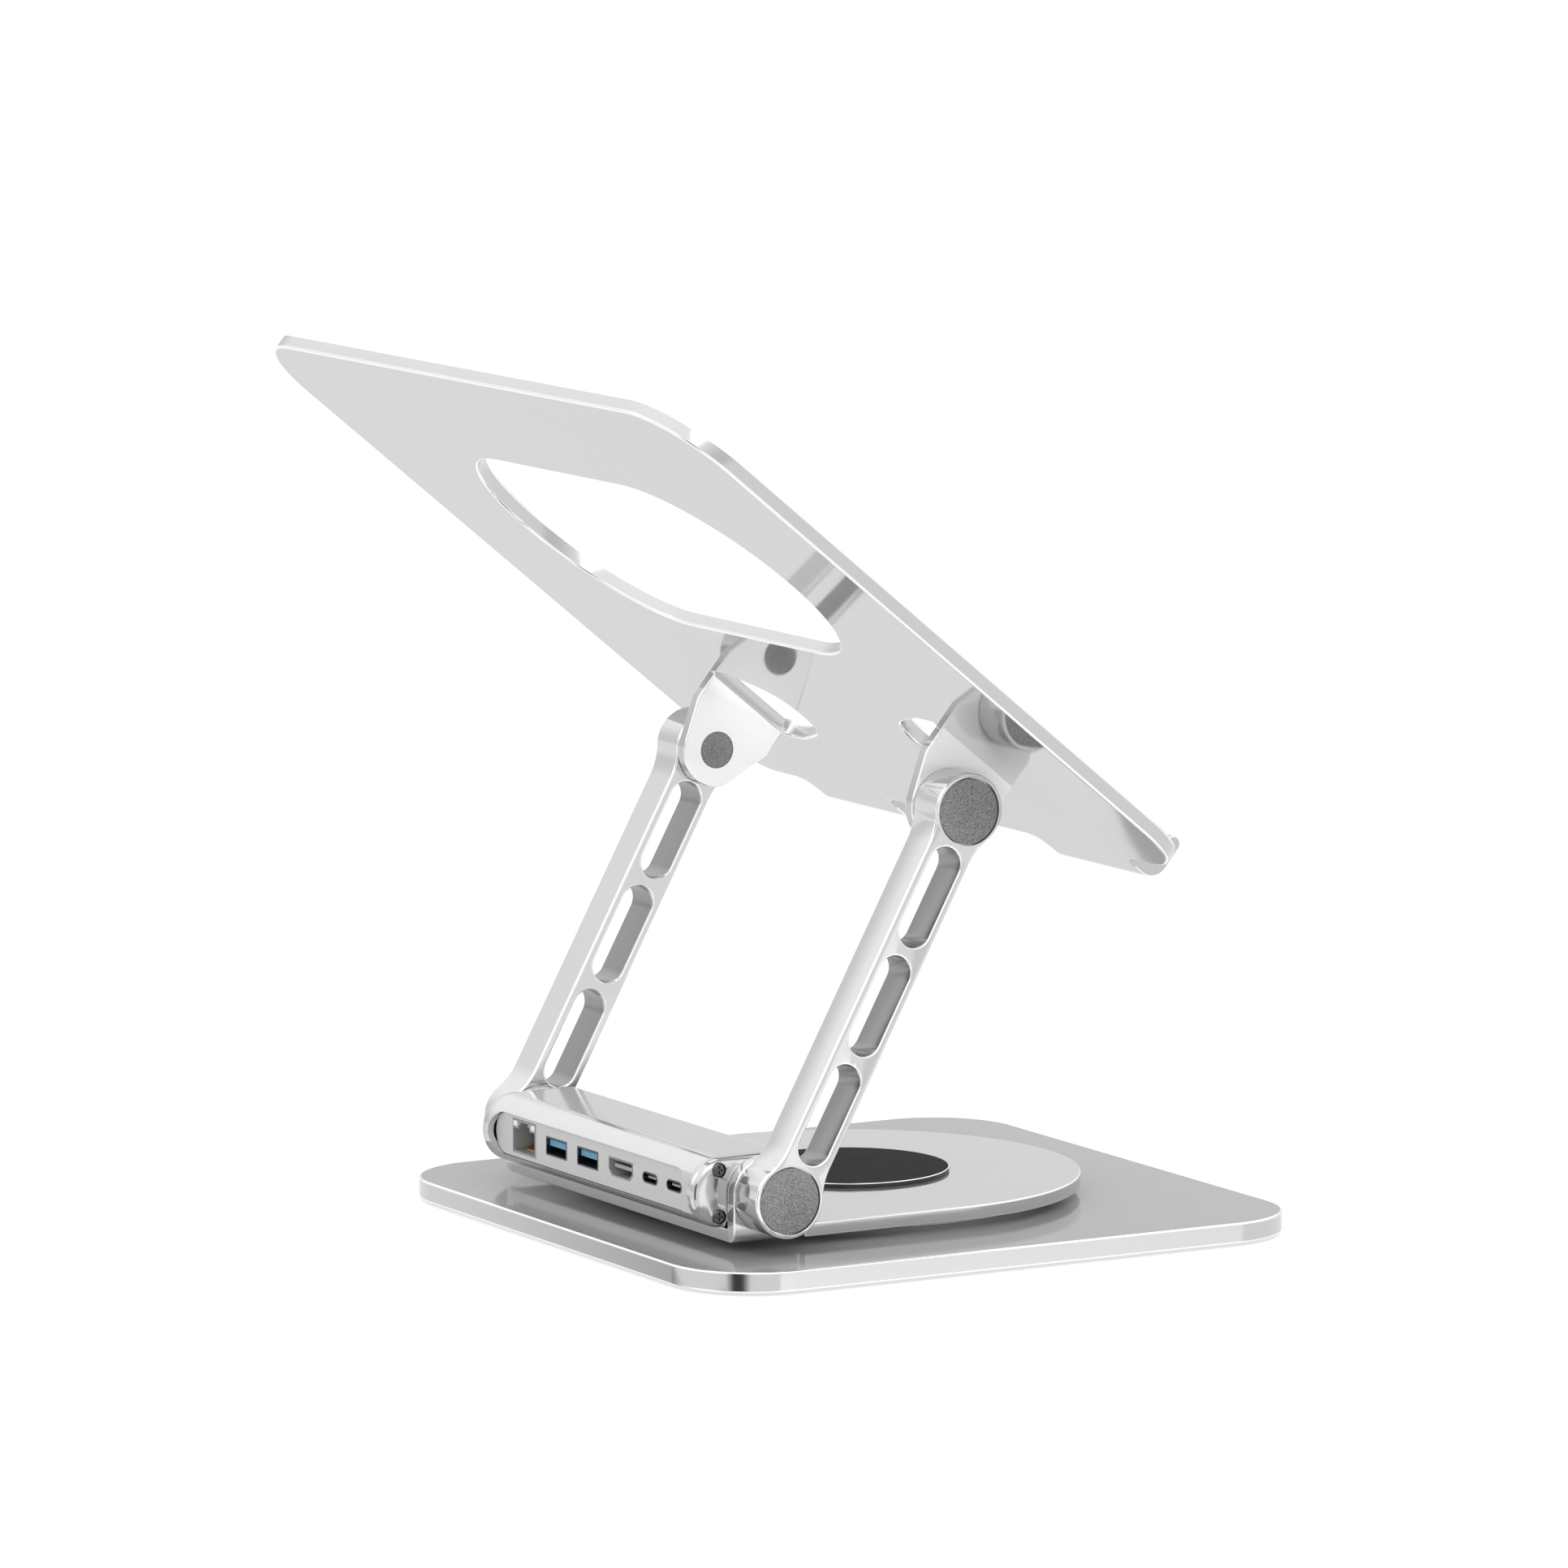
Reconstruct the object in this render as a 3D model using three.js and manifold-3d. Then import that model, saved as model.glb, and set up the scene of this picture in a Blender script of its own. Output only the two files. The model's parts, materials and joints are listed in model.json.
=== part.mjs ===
// Laptop stand with a swivelling base, two slotted arms on friction hinges, a tilting tray
// and a socket hub between the feet of the arms. Millimetres, +Z up, +X to the user's right,
// -Y towards the user. The origin is the centre of the face that rests on the desk.
import * as THREE from "three";
import { mergeVertices } from "three/addons/utils/BufferGeometryUtils.js";
import Module from "manifold-3d";

const wasm = await Module();
wasm.setup();

// ---------- driving dimensions ----------

const CLEARANCE = 0.1; // between pieces that rest on each other
const RUNNING_FIT = 0.2; // radial play of a pin in its bore

const BASE = { side: 210, thick: 6.3, corner: 28, edge: 0.6 };
const FOOT = { proud: 0.8, radius: 10.6, inset: 82, pocket: 0.6 };
const CENTRE_PAD = { radius: 22, pocket: 0.6 };

const SWIVEL = {
  boreRadius: 5.2, nutPocketRadius: 12, nutPocketDepth: 3.3, nutRadius: 9.4,
  boltRadius: 5, headRadius: 9, recessRadius: 14, recessDepth: 2.1, ringInner: 50, ringOuter: 62,
};
const CAP = { radius: 31.6, height: 1.8, edge: 0.5 };

const TURNTABLE = { bottom: 9.0, thick: 4.2, radius: 72.2, rear: 80.6, edge: 0.5, notch: 2 };
const EAR = { thick: 4.2, bend: 3 };

const LOWER_PIVOT = { y: 69.4, z: 23.4 };
const ARM = {
  length: 128.7, lean: 61.3, thick: 13.5, bossRadius: 11.5, halfWidth: 8, flare: 20,
  slotHalfWidth: 5.5, slotLength: 32.2, slotPitch: 36, slotStart: 12.2, slots: 3, edge: 0.7,
};
const HINGE = {
  washer: 0.5, washerRadius: 10.9, pinRadius: 4.8, headRadius: 7, headThick: 2.2,
  nutRadius: 8, nutThick: 4, nutBore: 8.7, nutSeat: 6.6, capRadius: 10, capThick: 1.2, capInset: 0.2,
};

const HUB = {
  halfLength: 63.9, radius: 10.7, y: 81.5, z: 24.0, front: 58.4, frontCorner: 3,
  wall: 2, capThick: 3.8, capRound: 1.8,
};
const PANEL = { face: 89.3, thick: 1.5, halfHeight: 6.6, near: -57.6, far: 62.4, nearCorner: 3 };
const HUB_SCREW = { y: 83.2, rise: 7.1, headRadius: 2.2, headThick: 1.2, shank: 1.0, length: 9, post: 8 };
const BOARD = { z: 16.7, thick: 1.6, halfLength: 55.5, front: 62, rear: 85 };
const SOCKET_MID = 24.2;
const SOCKET_BACK = 75;

const TRAY = {
  tilt: 39.2, under: 18.0, thick: 5.0, halfWidth: 134.3, rear: 182.4, front: -47.8,
  rearCorner: 27, frontCorner: 21, edge: 0.5,
};
const WINDOW = { halfSpan: 39, radius: 43, s: 91 };
const TONGUE = {
  centre: 71.2, halfWidth: 25, tip: -62, bend: 6, inner: 1.2, lip: 33.7, root: 5, lap: 0.25, run: 1.25,
};
const TAB = {
  radius: 11.7, rootHalfWidth: 15.8, rootHeight: 9, bend: 5.5,
  slotCentre: 48, slotRadius: 13.2, slotHalfWidth: 17.3, slotFlare: 58,
};
const TRAY_HEAD = { radius: 5.7, thick: 1.1, cap: 0.9, recess: 2.3 };
const TRAY_PAD = { x: 113, halfWidth: 8, from: -22, to: 150, thick: 1 };
const LIP_PAD = { halfWidth: 20, thick: 1.4, from: 25, to: 31.4 };

// ---------- derived places ----------

const EAR_OUTER = TURNTABLE.radius;
const EAR_INNER = EAR_OUTER - EAR.thick;
const TABLE_TOP = TURNTABLE.bottom + TURNTABLE.thick;
const ARM_INNER = EAR_OUTER + HINGE.washer + 2 * CLEARANCE;
const ARM_OUTER = ARM_INNER + ARM.thick;
const NUT_SEAT = ARM_INNER + HINGE.nutSeat;
const CAP_SEAT = ARM_OUTER - HINGE.capThick - HINGE.capInset - CLEARANCE;
const lean = THREE.MathUtils.degToRad(ARM.lean);
const UPPER_PIVOT = {
  y: LOWER_PIVOT.y - ARM.length * Math.cos(lean),
  z: LOWER_PIVOT.z + ARM.length * Math.sin(lean),
};

const ALONG_X = new THREE.Matrix4().makeBasis(
  new THREE.Vector3(0, 1, 0),
  new THREE.Vector3(0, 0, 1),
  new THREE.Vector3(1, 0, 0),
);
const ALONG_Y = new THREE.Matrix4().makeBasis(
  new THREE.Vector3(-1, 0, 0),
  new THREE.Vector3(0, 0, 1),
  new THREE.Vector3(0, 1, 0),
);

// ---------- finishes ----------

const finish = (color, roughness, metalness) => () =>
  new THREE.MeshStandardMaterial({ color, roughness, metalness });
const aluminium = finish(0xd2d3d4, 0.3, 1);
const steel = finish(0x9a9da0, 0.35, 1);
const capPlastic = finish(0x76777a, 0.85, 0);
const blackGloss = finish(0x1c1c1e, 0.12, 0);
const blackNylon = finish(0x16171a, 0.6, 0);
const silicone = finish(0x3c3e42, 0.9, 0);
const panelGrey = finish(0xc4c5c6, 0.45, 0.2);
const boardGreen = finish(0x1f4a34, 0.6, 0);
const tongueBlue = finish(0x2f6f96, 0.5, 0);
const gold = finish(0xc9a94a, 0.3, 1);

// ---------- solids ----------

function solid(geometry) {
  const bare = geometry.clone();
  bare.deleteAttribute("normal");
  bare.deleteAttribute("uv");
  const merged = mergeVertices(bare, 1e-4);
  const vertProperties = new Float32Array(merged.attributes.position.array);
  const triVerts = new Uint32Array(merged.index.array);
  return new wasm.Manifold(new wasm.Mesh({ numProp: 3, vertProperties, triVerts }));
}

function toGeometry(body) {
  const mesh = body.getMesh();
  const position = new Float32Array(mesh.numVert * 3);
  for (let i = 0; i < mesh.numVert; i++) {
    const start = i * mesh.numProp;
    position.set(mesh.vertProperties.subarray(start, start + 3), i * 3);
  }
  const geometry = new THREE.BufferGeometry();
  geometry.setAttribute("position", new THREE.BufferAttribute(position, 3));
  geometry.setIndex(new THREE.BufferAttribute(new Uint32Array(mesh.triVerts), 1));
  geometry.computeVertexNormals();
  return geometry;
}

const parts = { base: [], table: [], arms: [], tray: [] };

function piece(body, name, shape, material, side = 1) {
  const geometry = shape.isBufferGeometry ? shape : toGeometry(shape);
  const mesh = new THREE.Mesh(geometry, material());
  mesh.name = name;
  mesh.scale.x = side;
  parts[body].push(mesh);
  return mesh;
}

// Extrudes a shape over a length, with its edges broken all round, starting at height 0.
function slab(shape, length, edge = 0, curveSegments = 16) {
  const geometry = new THREE.ExtrudeGeometry(shape, {
    depth: length - 2 * edge,
    bevelEnabled: edge > 0,
    bevelThickness: edge,
    bevelSize: edge,
    bevelOffset: -edge,
    bevelSegments: 1,
    curveSegments,
  });
  return geometry.translate(0, 0, edge);
}

// A slab whose outline lies in the YZ plane, between two places on X.
const slabX = (shape, from, to, edge, segments) =>
  slab(shape, to - from, edge, segments).applyMatrix4(ALONG_X).translate(from, 0, 0);

// A slab whose outline is (-X, Z), between two places on Y.
const slabY = (shape, from, to, edge, segments) =>
  slab(shape, to - from, edge, segments).applyMatrix4(ALONG_Y).translate(0, from, 0);

function box(x0, x1, y0, y1, z0, z1) {
  return new THREE.BoxGeometry(x1 - x0, y1 - y0, z1 - z0).translate(
    (x0 + x1) / 2,
    (y0 + y1) / 2,
    (z0 + z1) / 2,
  );
}

// A turned piece about Z, from [radius, height] pairs that run up the outside.
function turned(profile, segments = 48) {
  const points = profile.map(([r, z]) => new THREE.Vector2(r, z));
  return new THREE.LatheGeometry(points, segments).rotateX(Math.PI / 2);
}

const disc = (radius, from, to, segments) =>
  turned([[0, from], [radius, from], [radius, to], [0, to]], segments);

const ring = (inner, outer, from, to, segments) =>
  turned([[inner, from], [outer, from], [outer, to], [inner, to], [inner, from]], segments);

// Turns a piece about Z into one about the X line through (y, z).
const aboutX = (geometry, y, z) => geometry.applyMatrix4(ALONG_X).translate(0, y, z);

// ---------- outlines ----------

function roundedRect(x0, x1, y0, y1, radius) {
  const [r00, r10, r11, r01] = Array.isArray(radius) ? radius : [radius, radius, radius, radius];
  const shape = new THREE.Shape();
  const corner = (cx, cy, r, start) => {
    if (r > 0) shape.absarc(cx, cy, r, start, start + Math.PI / 2, false);
    else shape.lineTo(cx, cy);
  };
  shape.moveTo(x0 + r00, y0);
  shape.lineTo(x1 - r10, y0);
  corner(x1 - r10, y0 + r10, r10, -Math.PI / 2);
  corner(x1 - r11, y1 - r11, r11, 0);
  corner(x0 + r01, y1 - r01, r01, Math.PI / 2);
  corner(x0 + r00, y0 + r00, r00, Math.PI);
  return shape;
}

function stadium(x, y0, y1, radius) {
  const shape = new THREE.Shape();
  shape.absarc(x, y1 - radius, radius, 0, Math.PI, false);
  shape.absarc(x, y0 + radius, radius, Math.PI, 2 * Math.PI, false);
  return shape;
}

function lyingStadium(x0, x1, y, radius) {
  const shape = new THREE.Shape();
  shape.absarc(x1 - radius, y, radius, -Math.PI / 2, Math.PI / 2, false);
  shape.absarc(x0 + radius, y, radius, Math.PI / 2, 1.5 * Math.PI, false);
  return shape;
}

function regular(sides, radius) {
  const points = [];
  for (let i = 0; i < sides; i++) {
    const angle = (2 * Math.PI * i) / sides;
    points.push(new THREE.Vector2(radius * Math.cos(angle), radius * Math.sin(angle)));
  }
  return new THREE.Shape(points);
}

// The sliver that is cut off an outer corner at the origin to leave a round of that radius.
function cornerSliver(radius) {
  const shape = new THREE.Shape();
  shape.moveTo(0.5, -0.5);
  shape.lineTo(0.5, radius);
  shape.lineTo(0, radius);
  shape.absarc(-radius, radius, radius, 0, -Math.PI / 2, true);
  shape.lineTo(-radius, -0.5);
  return shape;
}

function hexNut(radius, bore, thick) {
  const shape = regular(6, radius);
  const hole = new THREE.Path();
  hole.absarc(0, 0, bore, 0, 2 * Math.PI, false);
  shape.holes.push(hole);
  return slab(shape, thick, 0, 20);
}

// ---------- base ----------

function basePlate() {
  const half = BASE.side / 2;
  const outline = roundedRect(-half, half, -half, half, BASE.corner);
  let plate = solid(slab(outline, BASE.thick, BASE.edge, 7));
  for (const [x, y] of footPlaces()) {
    const pocket = disc(FOOT.radius + CLEARANCE, -1, FOOT.pocket, 32).translate(x, y, 0);
    plate = plate.subtract(solid(pocket));
  }
  plate = plate.subtract(solid(disc(CENTRE_PAD.radius + CLEARANCE, -1, CENTRE_PAD.pocket, 48)));
  plate = plate.subtract(solid(disc(SWIVEL.nutPocketRadius, -1, SWIVEL.nutPocketDepth, 32)));
  return plate.subtract(solid(disc(SWIVEL.boreRadius, -1, BASE.thick + 1, 32)));
}

function footPlaces() {
  const p = FOOT.inset;
  return [[-p, -p], [p, -p], [p, p], [-p, p]];
}

function footPad(radius, pocket, segments) {
  const top = pocket - CLEARANCE;
  const soft = 0.3;
  return turned(
    [[0, -FOOT.proud], [radius - soft, -FOOT.proud], [radius, soft - FOOT.proud], [radius, top], [0, top]],
    segments,
  );
}

function makeBase() {
  piece("base", "base_plate", basePlate(), aluminium);
  footPlaces().forEach(([x, y], i) => {
    const foot = footPad(FOOT.radius, FOOT.pocket, 32).translate(x, y, 0);
    piece("base", `corner_foot_${i + 1}`, foot, silicone);
  });
  piece("base", "centre_pad", footPad(CENTRE_PAD.radius, CENTRE_PAD.pocket, 40), silicone);

  const recessFloor = TABLE_TOP - SWIVEL.recessDepth;
  const flangeTop = recessFloor + CLEARANCE + 0.5;
  const springTop = flangeTop + 0.5;
  const nutBottom = CENTRE_PAD.pocket + CLEARANCE;
  const bolt = turned([
    [0, nutBottom],
    [SWIVEL.boltRadius, nutBottom],
    [SWIVEL.boltRadius, springTop],
    [SWIVEL.headRadius, springTop],
    [SWIVEL.headRadius - 0.5, TABLE_TOP - CLEARANCE],
    [0, TABLE_TOP - CLEARANCE],
  ], 32);
  piece("base", "swivel_bolt", bolt, steel);
  const nutHeight = SWIVEL.nutPocketDepth - nutBottom - CLEARANCE;
  const nut = hexNut(SWIVEL.nutRadius, SWIVEL.boreRadius, nutHeight).translate(0, 0, nutBottom);
  piece("base", "swivel_nut", nut, steel);
  const springBore = SWIVEL.boreRadius + RUNNING_FIT;
  const spring = ring(springBore, SWIVEL.headRadius, flangeTop + 0.1, springTop - 0.1, 32);
  piece("base", "swivel_spring_washer", spring, steel);
  const glideTop = TURNTABLE.bottom - CLEARANCE;
  const glide = ring(SWIVEL.ringInner, SWIVEL.ringOuter, BASE.thick + CLEARANCE, glideTop, 48);
  piece("base", "glide_ring", glide, blackNylon);

  const bushOuter = SWIVEL.boltRadius + 3;
  const bushInner = SWIVEL.boltRadius + RUNNING_FIT;
  const bush = turned([
    [bushInner, TURNTABLE.bottom],
    [bushOuter, TURNTABLE.bottom],
    [bushOuter, recessFloor + CLEARANCE],
    [bushOuter + 4, recessFloor + CLEARANCE],
    [bushOuter + 4, flangeTop],
    [bushInner, flangeTop],
    [bushInner, TURNTABLE.bottom],
  ], 32);
  piece("table", "swivel_bush", bush, blackNylon);
}

// ---------- turntable ----------

function turntablePlate() {
  const outline = new THREE.Shape();
  outline.absarc(0, 0, TURNTABLE.radius, 0, -Math.PI, true);
  outline.lineTo(-TURNTABLE.radius, TURNTABLE.rear);
  outline.lineTo(TURNTABLE.radius, TURNTABLE.rear);
  let plate = solid(slab(outline, TURNTABLE.thick, TURNTABLE.edge, 24).translate(0, 0, TURNTABLE.bottom));

  const earRadius = TURNTABLE.rear - LOWER_PIVOT.y;
  const ear = new THREE.Shape();
  ear.absarc(LOWER_PIVOT.y, LOWER_PIVOT.z, earRadius, 0, Math.PI, false);
  ear.lineTo(LOWER_PIVOT.y - earRadius, TURNTABLE.bottom);
  ear.lineTo(TURNTABLE.rear, TURNTABLE.bottom);
  const earFront = LOWER_PIVOT.y - earRadius;
  for (const side of [-1, 1]) {
    const inner = side > 0 ? EAR_INNER : -EAR_OUTER;
    const lug = solid(slabX(ear, inner, inner + EAR.thick, TURNTABLE.edge, 10));
    const bore = solid(aboutX(disc(HINGE.pinRadius + RUNNING_FIT, inner - 1, inner + EAR.thick + 1, 24),
      LOWER_PIVOT.y, LOWER_PIVOT.z));
    const notch = solid(box(
      Math.min(side * (EAR_INNER - 1), side * (EAR_OUTER + 1)),
      Math.max(side * (EAR_INNER - 1), side * (EAR_OUTER + 1)),
      earFront - TURNTABLE.notch, earFront,
      TURNTABLE.bottom - 1, TABLE_TOP + 1,
    ));
    // The outside of the fold at the foot of the ear.
    const sliver = slab(cornerSliver(EAR.bend), earRadius * 2 + 1).rotateX(Math.PI / 2);
    sliver.translate(EAR_OUTER, TURNTABLE.rear + 0.5, TURNTABLE.bottom);
    const cutter = side > 0 ? sliver : sliver.clone().rotateZ(Math.PI)
      .translate(0, 2 * TURNTABLE.rear - 2 * earRadius, 0);
    plate = plate.add(lug).subtract(bore).subtract(notch).subtract(solid(cutter));
  }
  const through = solid(disc(SWIVEL.boltRadius + 3 + CLEARANCE, 0, TABLE_TOP + 1, 32));
  const recess = solid(disc(SWIVEL.recessRadius, TABLE_TOP - SWIVEL.recessDepth, TABLE_TOP + 1, 36));
  return plate.subtract(through).subtract(recess);
}

function makeTurntable() {
  piece("table", "turntable_plate", turntablePlate(), aluminium);
  const top = TABLE_TOP + CLEARANCE + CAP.height;
  const cap = turned([
    [0, TABLE_TOP + CLEARANCE],
    [CAP.radius, TABLE_TOP + CLEARANCE],
    [CAP.radius, top - CAP.edge],
    [CAP.radius - CAP.edge, top],
    [0, top],
  ], 56);
  piece("table", "centre_cap", cap, blackGloss);
}

// ---------- hub ----------

// The hub's cross-section in (Y, Z), drawn in by an even amount.
function hubSection(inset) {
  const r = HUB.radius - inset;
  const front = HUB.front + inset;
  const corner = Math.max(HUB.frontCorner - inset, 1);
  const shape = new THREE.Shape();
  shape.absarc(HUB.y, HUB.z, r, -Math.PI / 2, Math.PI / 2, false);
  shape.absarc(front + corner, HUB.z + r - corner, corner, Math.PI / 2, Math.PI, false);
  shape.absarc(front + corner, HUB.z - r + corner, corner, Math.PI, 1.5 * Math.PI, false);
  return shape;
}

// The socket opening in (-X, Z): half-round at the far end, squared at the near end.
function panelOutline(inset) {
  const h = PANEL.halfHeight - inset;
  const far = -(PANEL.far - inset);
  const near = -(PANEL.near + inset);
  const c = PANEL.nearCorner;
  const shape = new THREE.Shape();
  shape.absarc(far + h, HUB.z, h, Math.PI / 2, 1.5 * Math.PI, false);
  shape.lineTo(near - 1, HUB.z - h);
  shape.lineTo(near, HUB.z - h + 1);
  shape.absarc(near - c, HUB.z + h - c, c, 0, Math.PI / 2, false);
  return shape;
}

const screwHeights = [HUB.z - HUB_SCREW.rise, HUB.z + HUB_SCREW.rise];

function hubShell() {
  const end = HUB.halfLength;
  let shell = solid(slabX(hubSection(0), -end, end, 0, 10));
  shell = shell.subtract(solid(slabX(hubSection(HUB.wall), -end - 1, end + 1, 0, 8)));
  for (const z of screwHeights) {
    for (const side of [-1, 1]) {
      const deep = HUB_SCREW.post;
      const from = side > 0 ? end - deep : -end;
      const post = aboutX(disc(2.4, from, from + deep, 16), HUB_SCREW.y, z);
      const hole = aboutX(disc(HUB_SCREW.shank + RUNNING_FIT, from - 1, from + deep + 1, 12), HUB_SCREW.y, z);
      shell = shell.add(solid(post)).subtract(solid(hole));
    }
  }
  return shell.subtract(solid(slabY(panelOutline(0), PANEL.face - 4, HUB.y + HUB.radius + 1, 0, 8)));
}

function hubEndCap() {
  const from = HUB.halfLength + CLEARANCE;
  const to = from + HUB.capThick;
  let cap = solid(slabX(hubSection(0), from - HUB.capRound, to, HUB.capRound, 8));
  cap = cap.subtract(solid(box(from - 10, from, 40, 110, 0, 50)));
  const headRoom = aboutX(disc(HINGE.headRadius + 0.5, EAR_INNER - HINGE.headThick - 2 * CLEARANCE, to + 1, 24),
    LOWER_PIVOT.y, LOWER_PIVOT.z);
  cap = cap.subtract(solid(headRoom));
  const groove = stadium(HUB_SCREW.y - 1, HUB.z - 4.6, HUB.z + 4.6, 1.5);
  cap = cap.subtract(solid(slabX(groove, to - 2.4, to + 1, 0, 8)));
  for (const z of screwHeights) {
    const seatFloor = to - HUB_SCREW.headThick - 0.1;
    const seat = aboutX(disc(HUB_SCREW.headRadius + 0.2, seatFloor, to + 1, 20), HUB_SCREW.y, z);
    const hole = aboutX(disc(HUB_SCREW.shank + RUNNING_FIT, from - 1, to + 1, 12), HUB_SCREW.y, z);
    cap = cap.subtract(solid(seat)).subtract(solid(hole));
  }
  return cap;
}

function hubScrew(z) {
  const top = HUB.halfLength + CLEARANCE + HUB.capThick;
  const under = top - HUB_SCREW.headThick;
  const screw = solid(aboutX(turned([
    [0, under - HUB_SCREW.length],
    [HUB_SCREW.shank, under - HUB_SCREW.length],
    [HUB_SCREW.shank, under],
    [HUB_SCREW.headRadius, under],
    [HUB_SCREW.headRadius, top - 0.4],
    [HUB_SCREW.headRadius - 0.5, top],
    [0, top],
  ], 20), HUB_SCREW.y, z));
  const arm = 1.3;
  const slot = 0.3;
  const across = box(top - 0.6, top + 1, HUB_SCREW.y - arm, HUB_SCREW.y + arm, z - slot, z + slot);
  const upright = box(top - 0.6, top + 1, HUB_SCREW.y - slot, HUB_SCREW.y + slot, z - arm, z + arm);
  return screw.subtract(solid(across)).subtract(solid(upright));
}

// Sockets: centre on X, half sizes of the metal mouth, its wall, and how its outline is drawn.
const SOCKETS = [
  { name: "network_socket", x: 43.9, halfWidth: 7.4, halfHeight: 5.2, wall: 0.6, mouth: "network" },
  { name: "data_socket_1", x: 23.1, halfWidth: 6.6, halfHeight: 2.85, wall: 0.4, mouth: "plain" },
  { name: "data_socket_2", x: 3.1, halfWidth: 6.6, halfHeight: 2.85, wall: 0.4, mouth: "plain" },
  { name: "video_socket", x: -17.8, halfWidth: 7.5, halfHeight: 2.8, wall: 0.4, mouth: "keyed" },
  { name: "power_socket_1", x: -36.1, halfWidth: 4.6, halfHeight: 1.65, wall: 0.35, mouth: "round" },
  { name: "power_socket_2", x: -51.0, halfWidth: 4.6, halfHeight: 1.65, wall: 0.35, mouth: "round" },
];

function mouthOutline(socket, grow) {
  const w = socket.halfWidth + grow;
  const h = socket.halfHeight + grow;
  const x = -socket.x;
  const z = SOCKET_MID;
  if (socket.mouth === "round") return lyingStadium(x - w, x + w, z, h);
  if (socket.mouth === "keyed") {
    const shape = new THREE.Shape();
    shape.moveTo(x - w + 2, z - h);
    shape.lineTo(x + w - 2, z - h);
    shape.lineTo(x + w, z - h / 3);
    shape.lineTo(x + w, z + h);
    shape.lineTo(x - w, z + h);
    shape.lineTo(x - w, z - h / 3);
    return shape;
  }
  return roundedRect(x - w, x + w, z - h, z + h, 0.3);
}

// The network socket's opening has a step at the top for the plug's latch.
function networkMouth(socket) {
  const w = socket.halfWidth - socket.wall;
  const h = socket.halfHeight - socket.wall;
  const x = -socket.x;
  const z = SOCKET_MID;
  const shape = new THREE.Shape();
  shape.moveTo(x - w, z - h);
  shape.lineTo(x + w, z - h);
  shape.lineTo(x + w, z + h - 2.2);
  shape.lineTo(x + 3.4, z + h - 2.2);
  shape.lineTo(x + 3.4, z + h - 1.0);
  shape.lineTo(x + 2.4, z + h - 1.0);
  shape.lineTo(x + 2.4, z + h);
  shape.lineTo(x - 2.4, z + h);
  shape.lineTo(x - 2.4, z + h - 1.0);
  shape.lineTo(x - 3.4, z + h - 1.0);
  shape.lineTo(x - 3.4, z + h - 2.2);
  shape.lineTo(x - w, z + h - 2.2);
  return shape;
}

function socketShell(socket) {
  const faceY = PANEL.face + 0.1;
  const body = solid(slabY(mouthOutline(socket, 0), SOCKET_BACK, faceY, 0, 6));
  const mouth = socket.mouth === "network" ? networkMouth(socket) : mouthOutline(socket, -socket.wall);
  const hollow = solid(slabY(mouth, SOCKET_BACK + 1.2, faceY + 1, 0, 6));
  const w = socket.halfWidth - 1.6;
  const standing = box(
    socket.x - w, socket.x + w,
    SOCKET_BACK, PANEL.face - PANEL.thick - 1.4,
    BOARD.z + BOARD.thick + CLEARANCE, SOCKET_MID - socket.halfHeight + 0.2,
  );
  return body.add(solid(standing)).subtract(hollow);
}

// The contact tongue in the middle of a socket, standing on the socket's back wall.
function tongue(x, halfWidth, z, thick, reach) {
  const from = SOCKET_BACK + 1.2 + CLEARANCE;
  return box(x - halfWidth, x + halfWidth, from, PANEL.face - reach, z - thick / 2, z + thick / 2);
}

function contactBlock(socket) {
  const x = socket.x;
  const floor = SOCKET_MID - socket.halfHeight + socket.wall + CLEARANCE;
  const back = SOCKET_BACK + 1.2 + CLEARANCE;
  let block = solid(box(x - 5, x + 5, back, back + 2.4, floor, floor + 4.6));
  block = block.add(solid(box(x - 5, x + 5, back, PANEL.face - 2.5, floor, floor + 0.6)));
  const wires = 8;
  const pitch = 1.1;
  for (let i = 0; i < wires; i++) {
    const left = x - (wires / 2 - i) * pitch + 0.3;
    const finger = new THREE.BoxGeometry(0.5, 8.6, 0.4).rotateX(-0.42);
    block = block.add(solid(finger.translate(left + 0.25, back + 5.9, floor + 2.2)));
  }
  return block;
}

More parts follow.
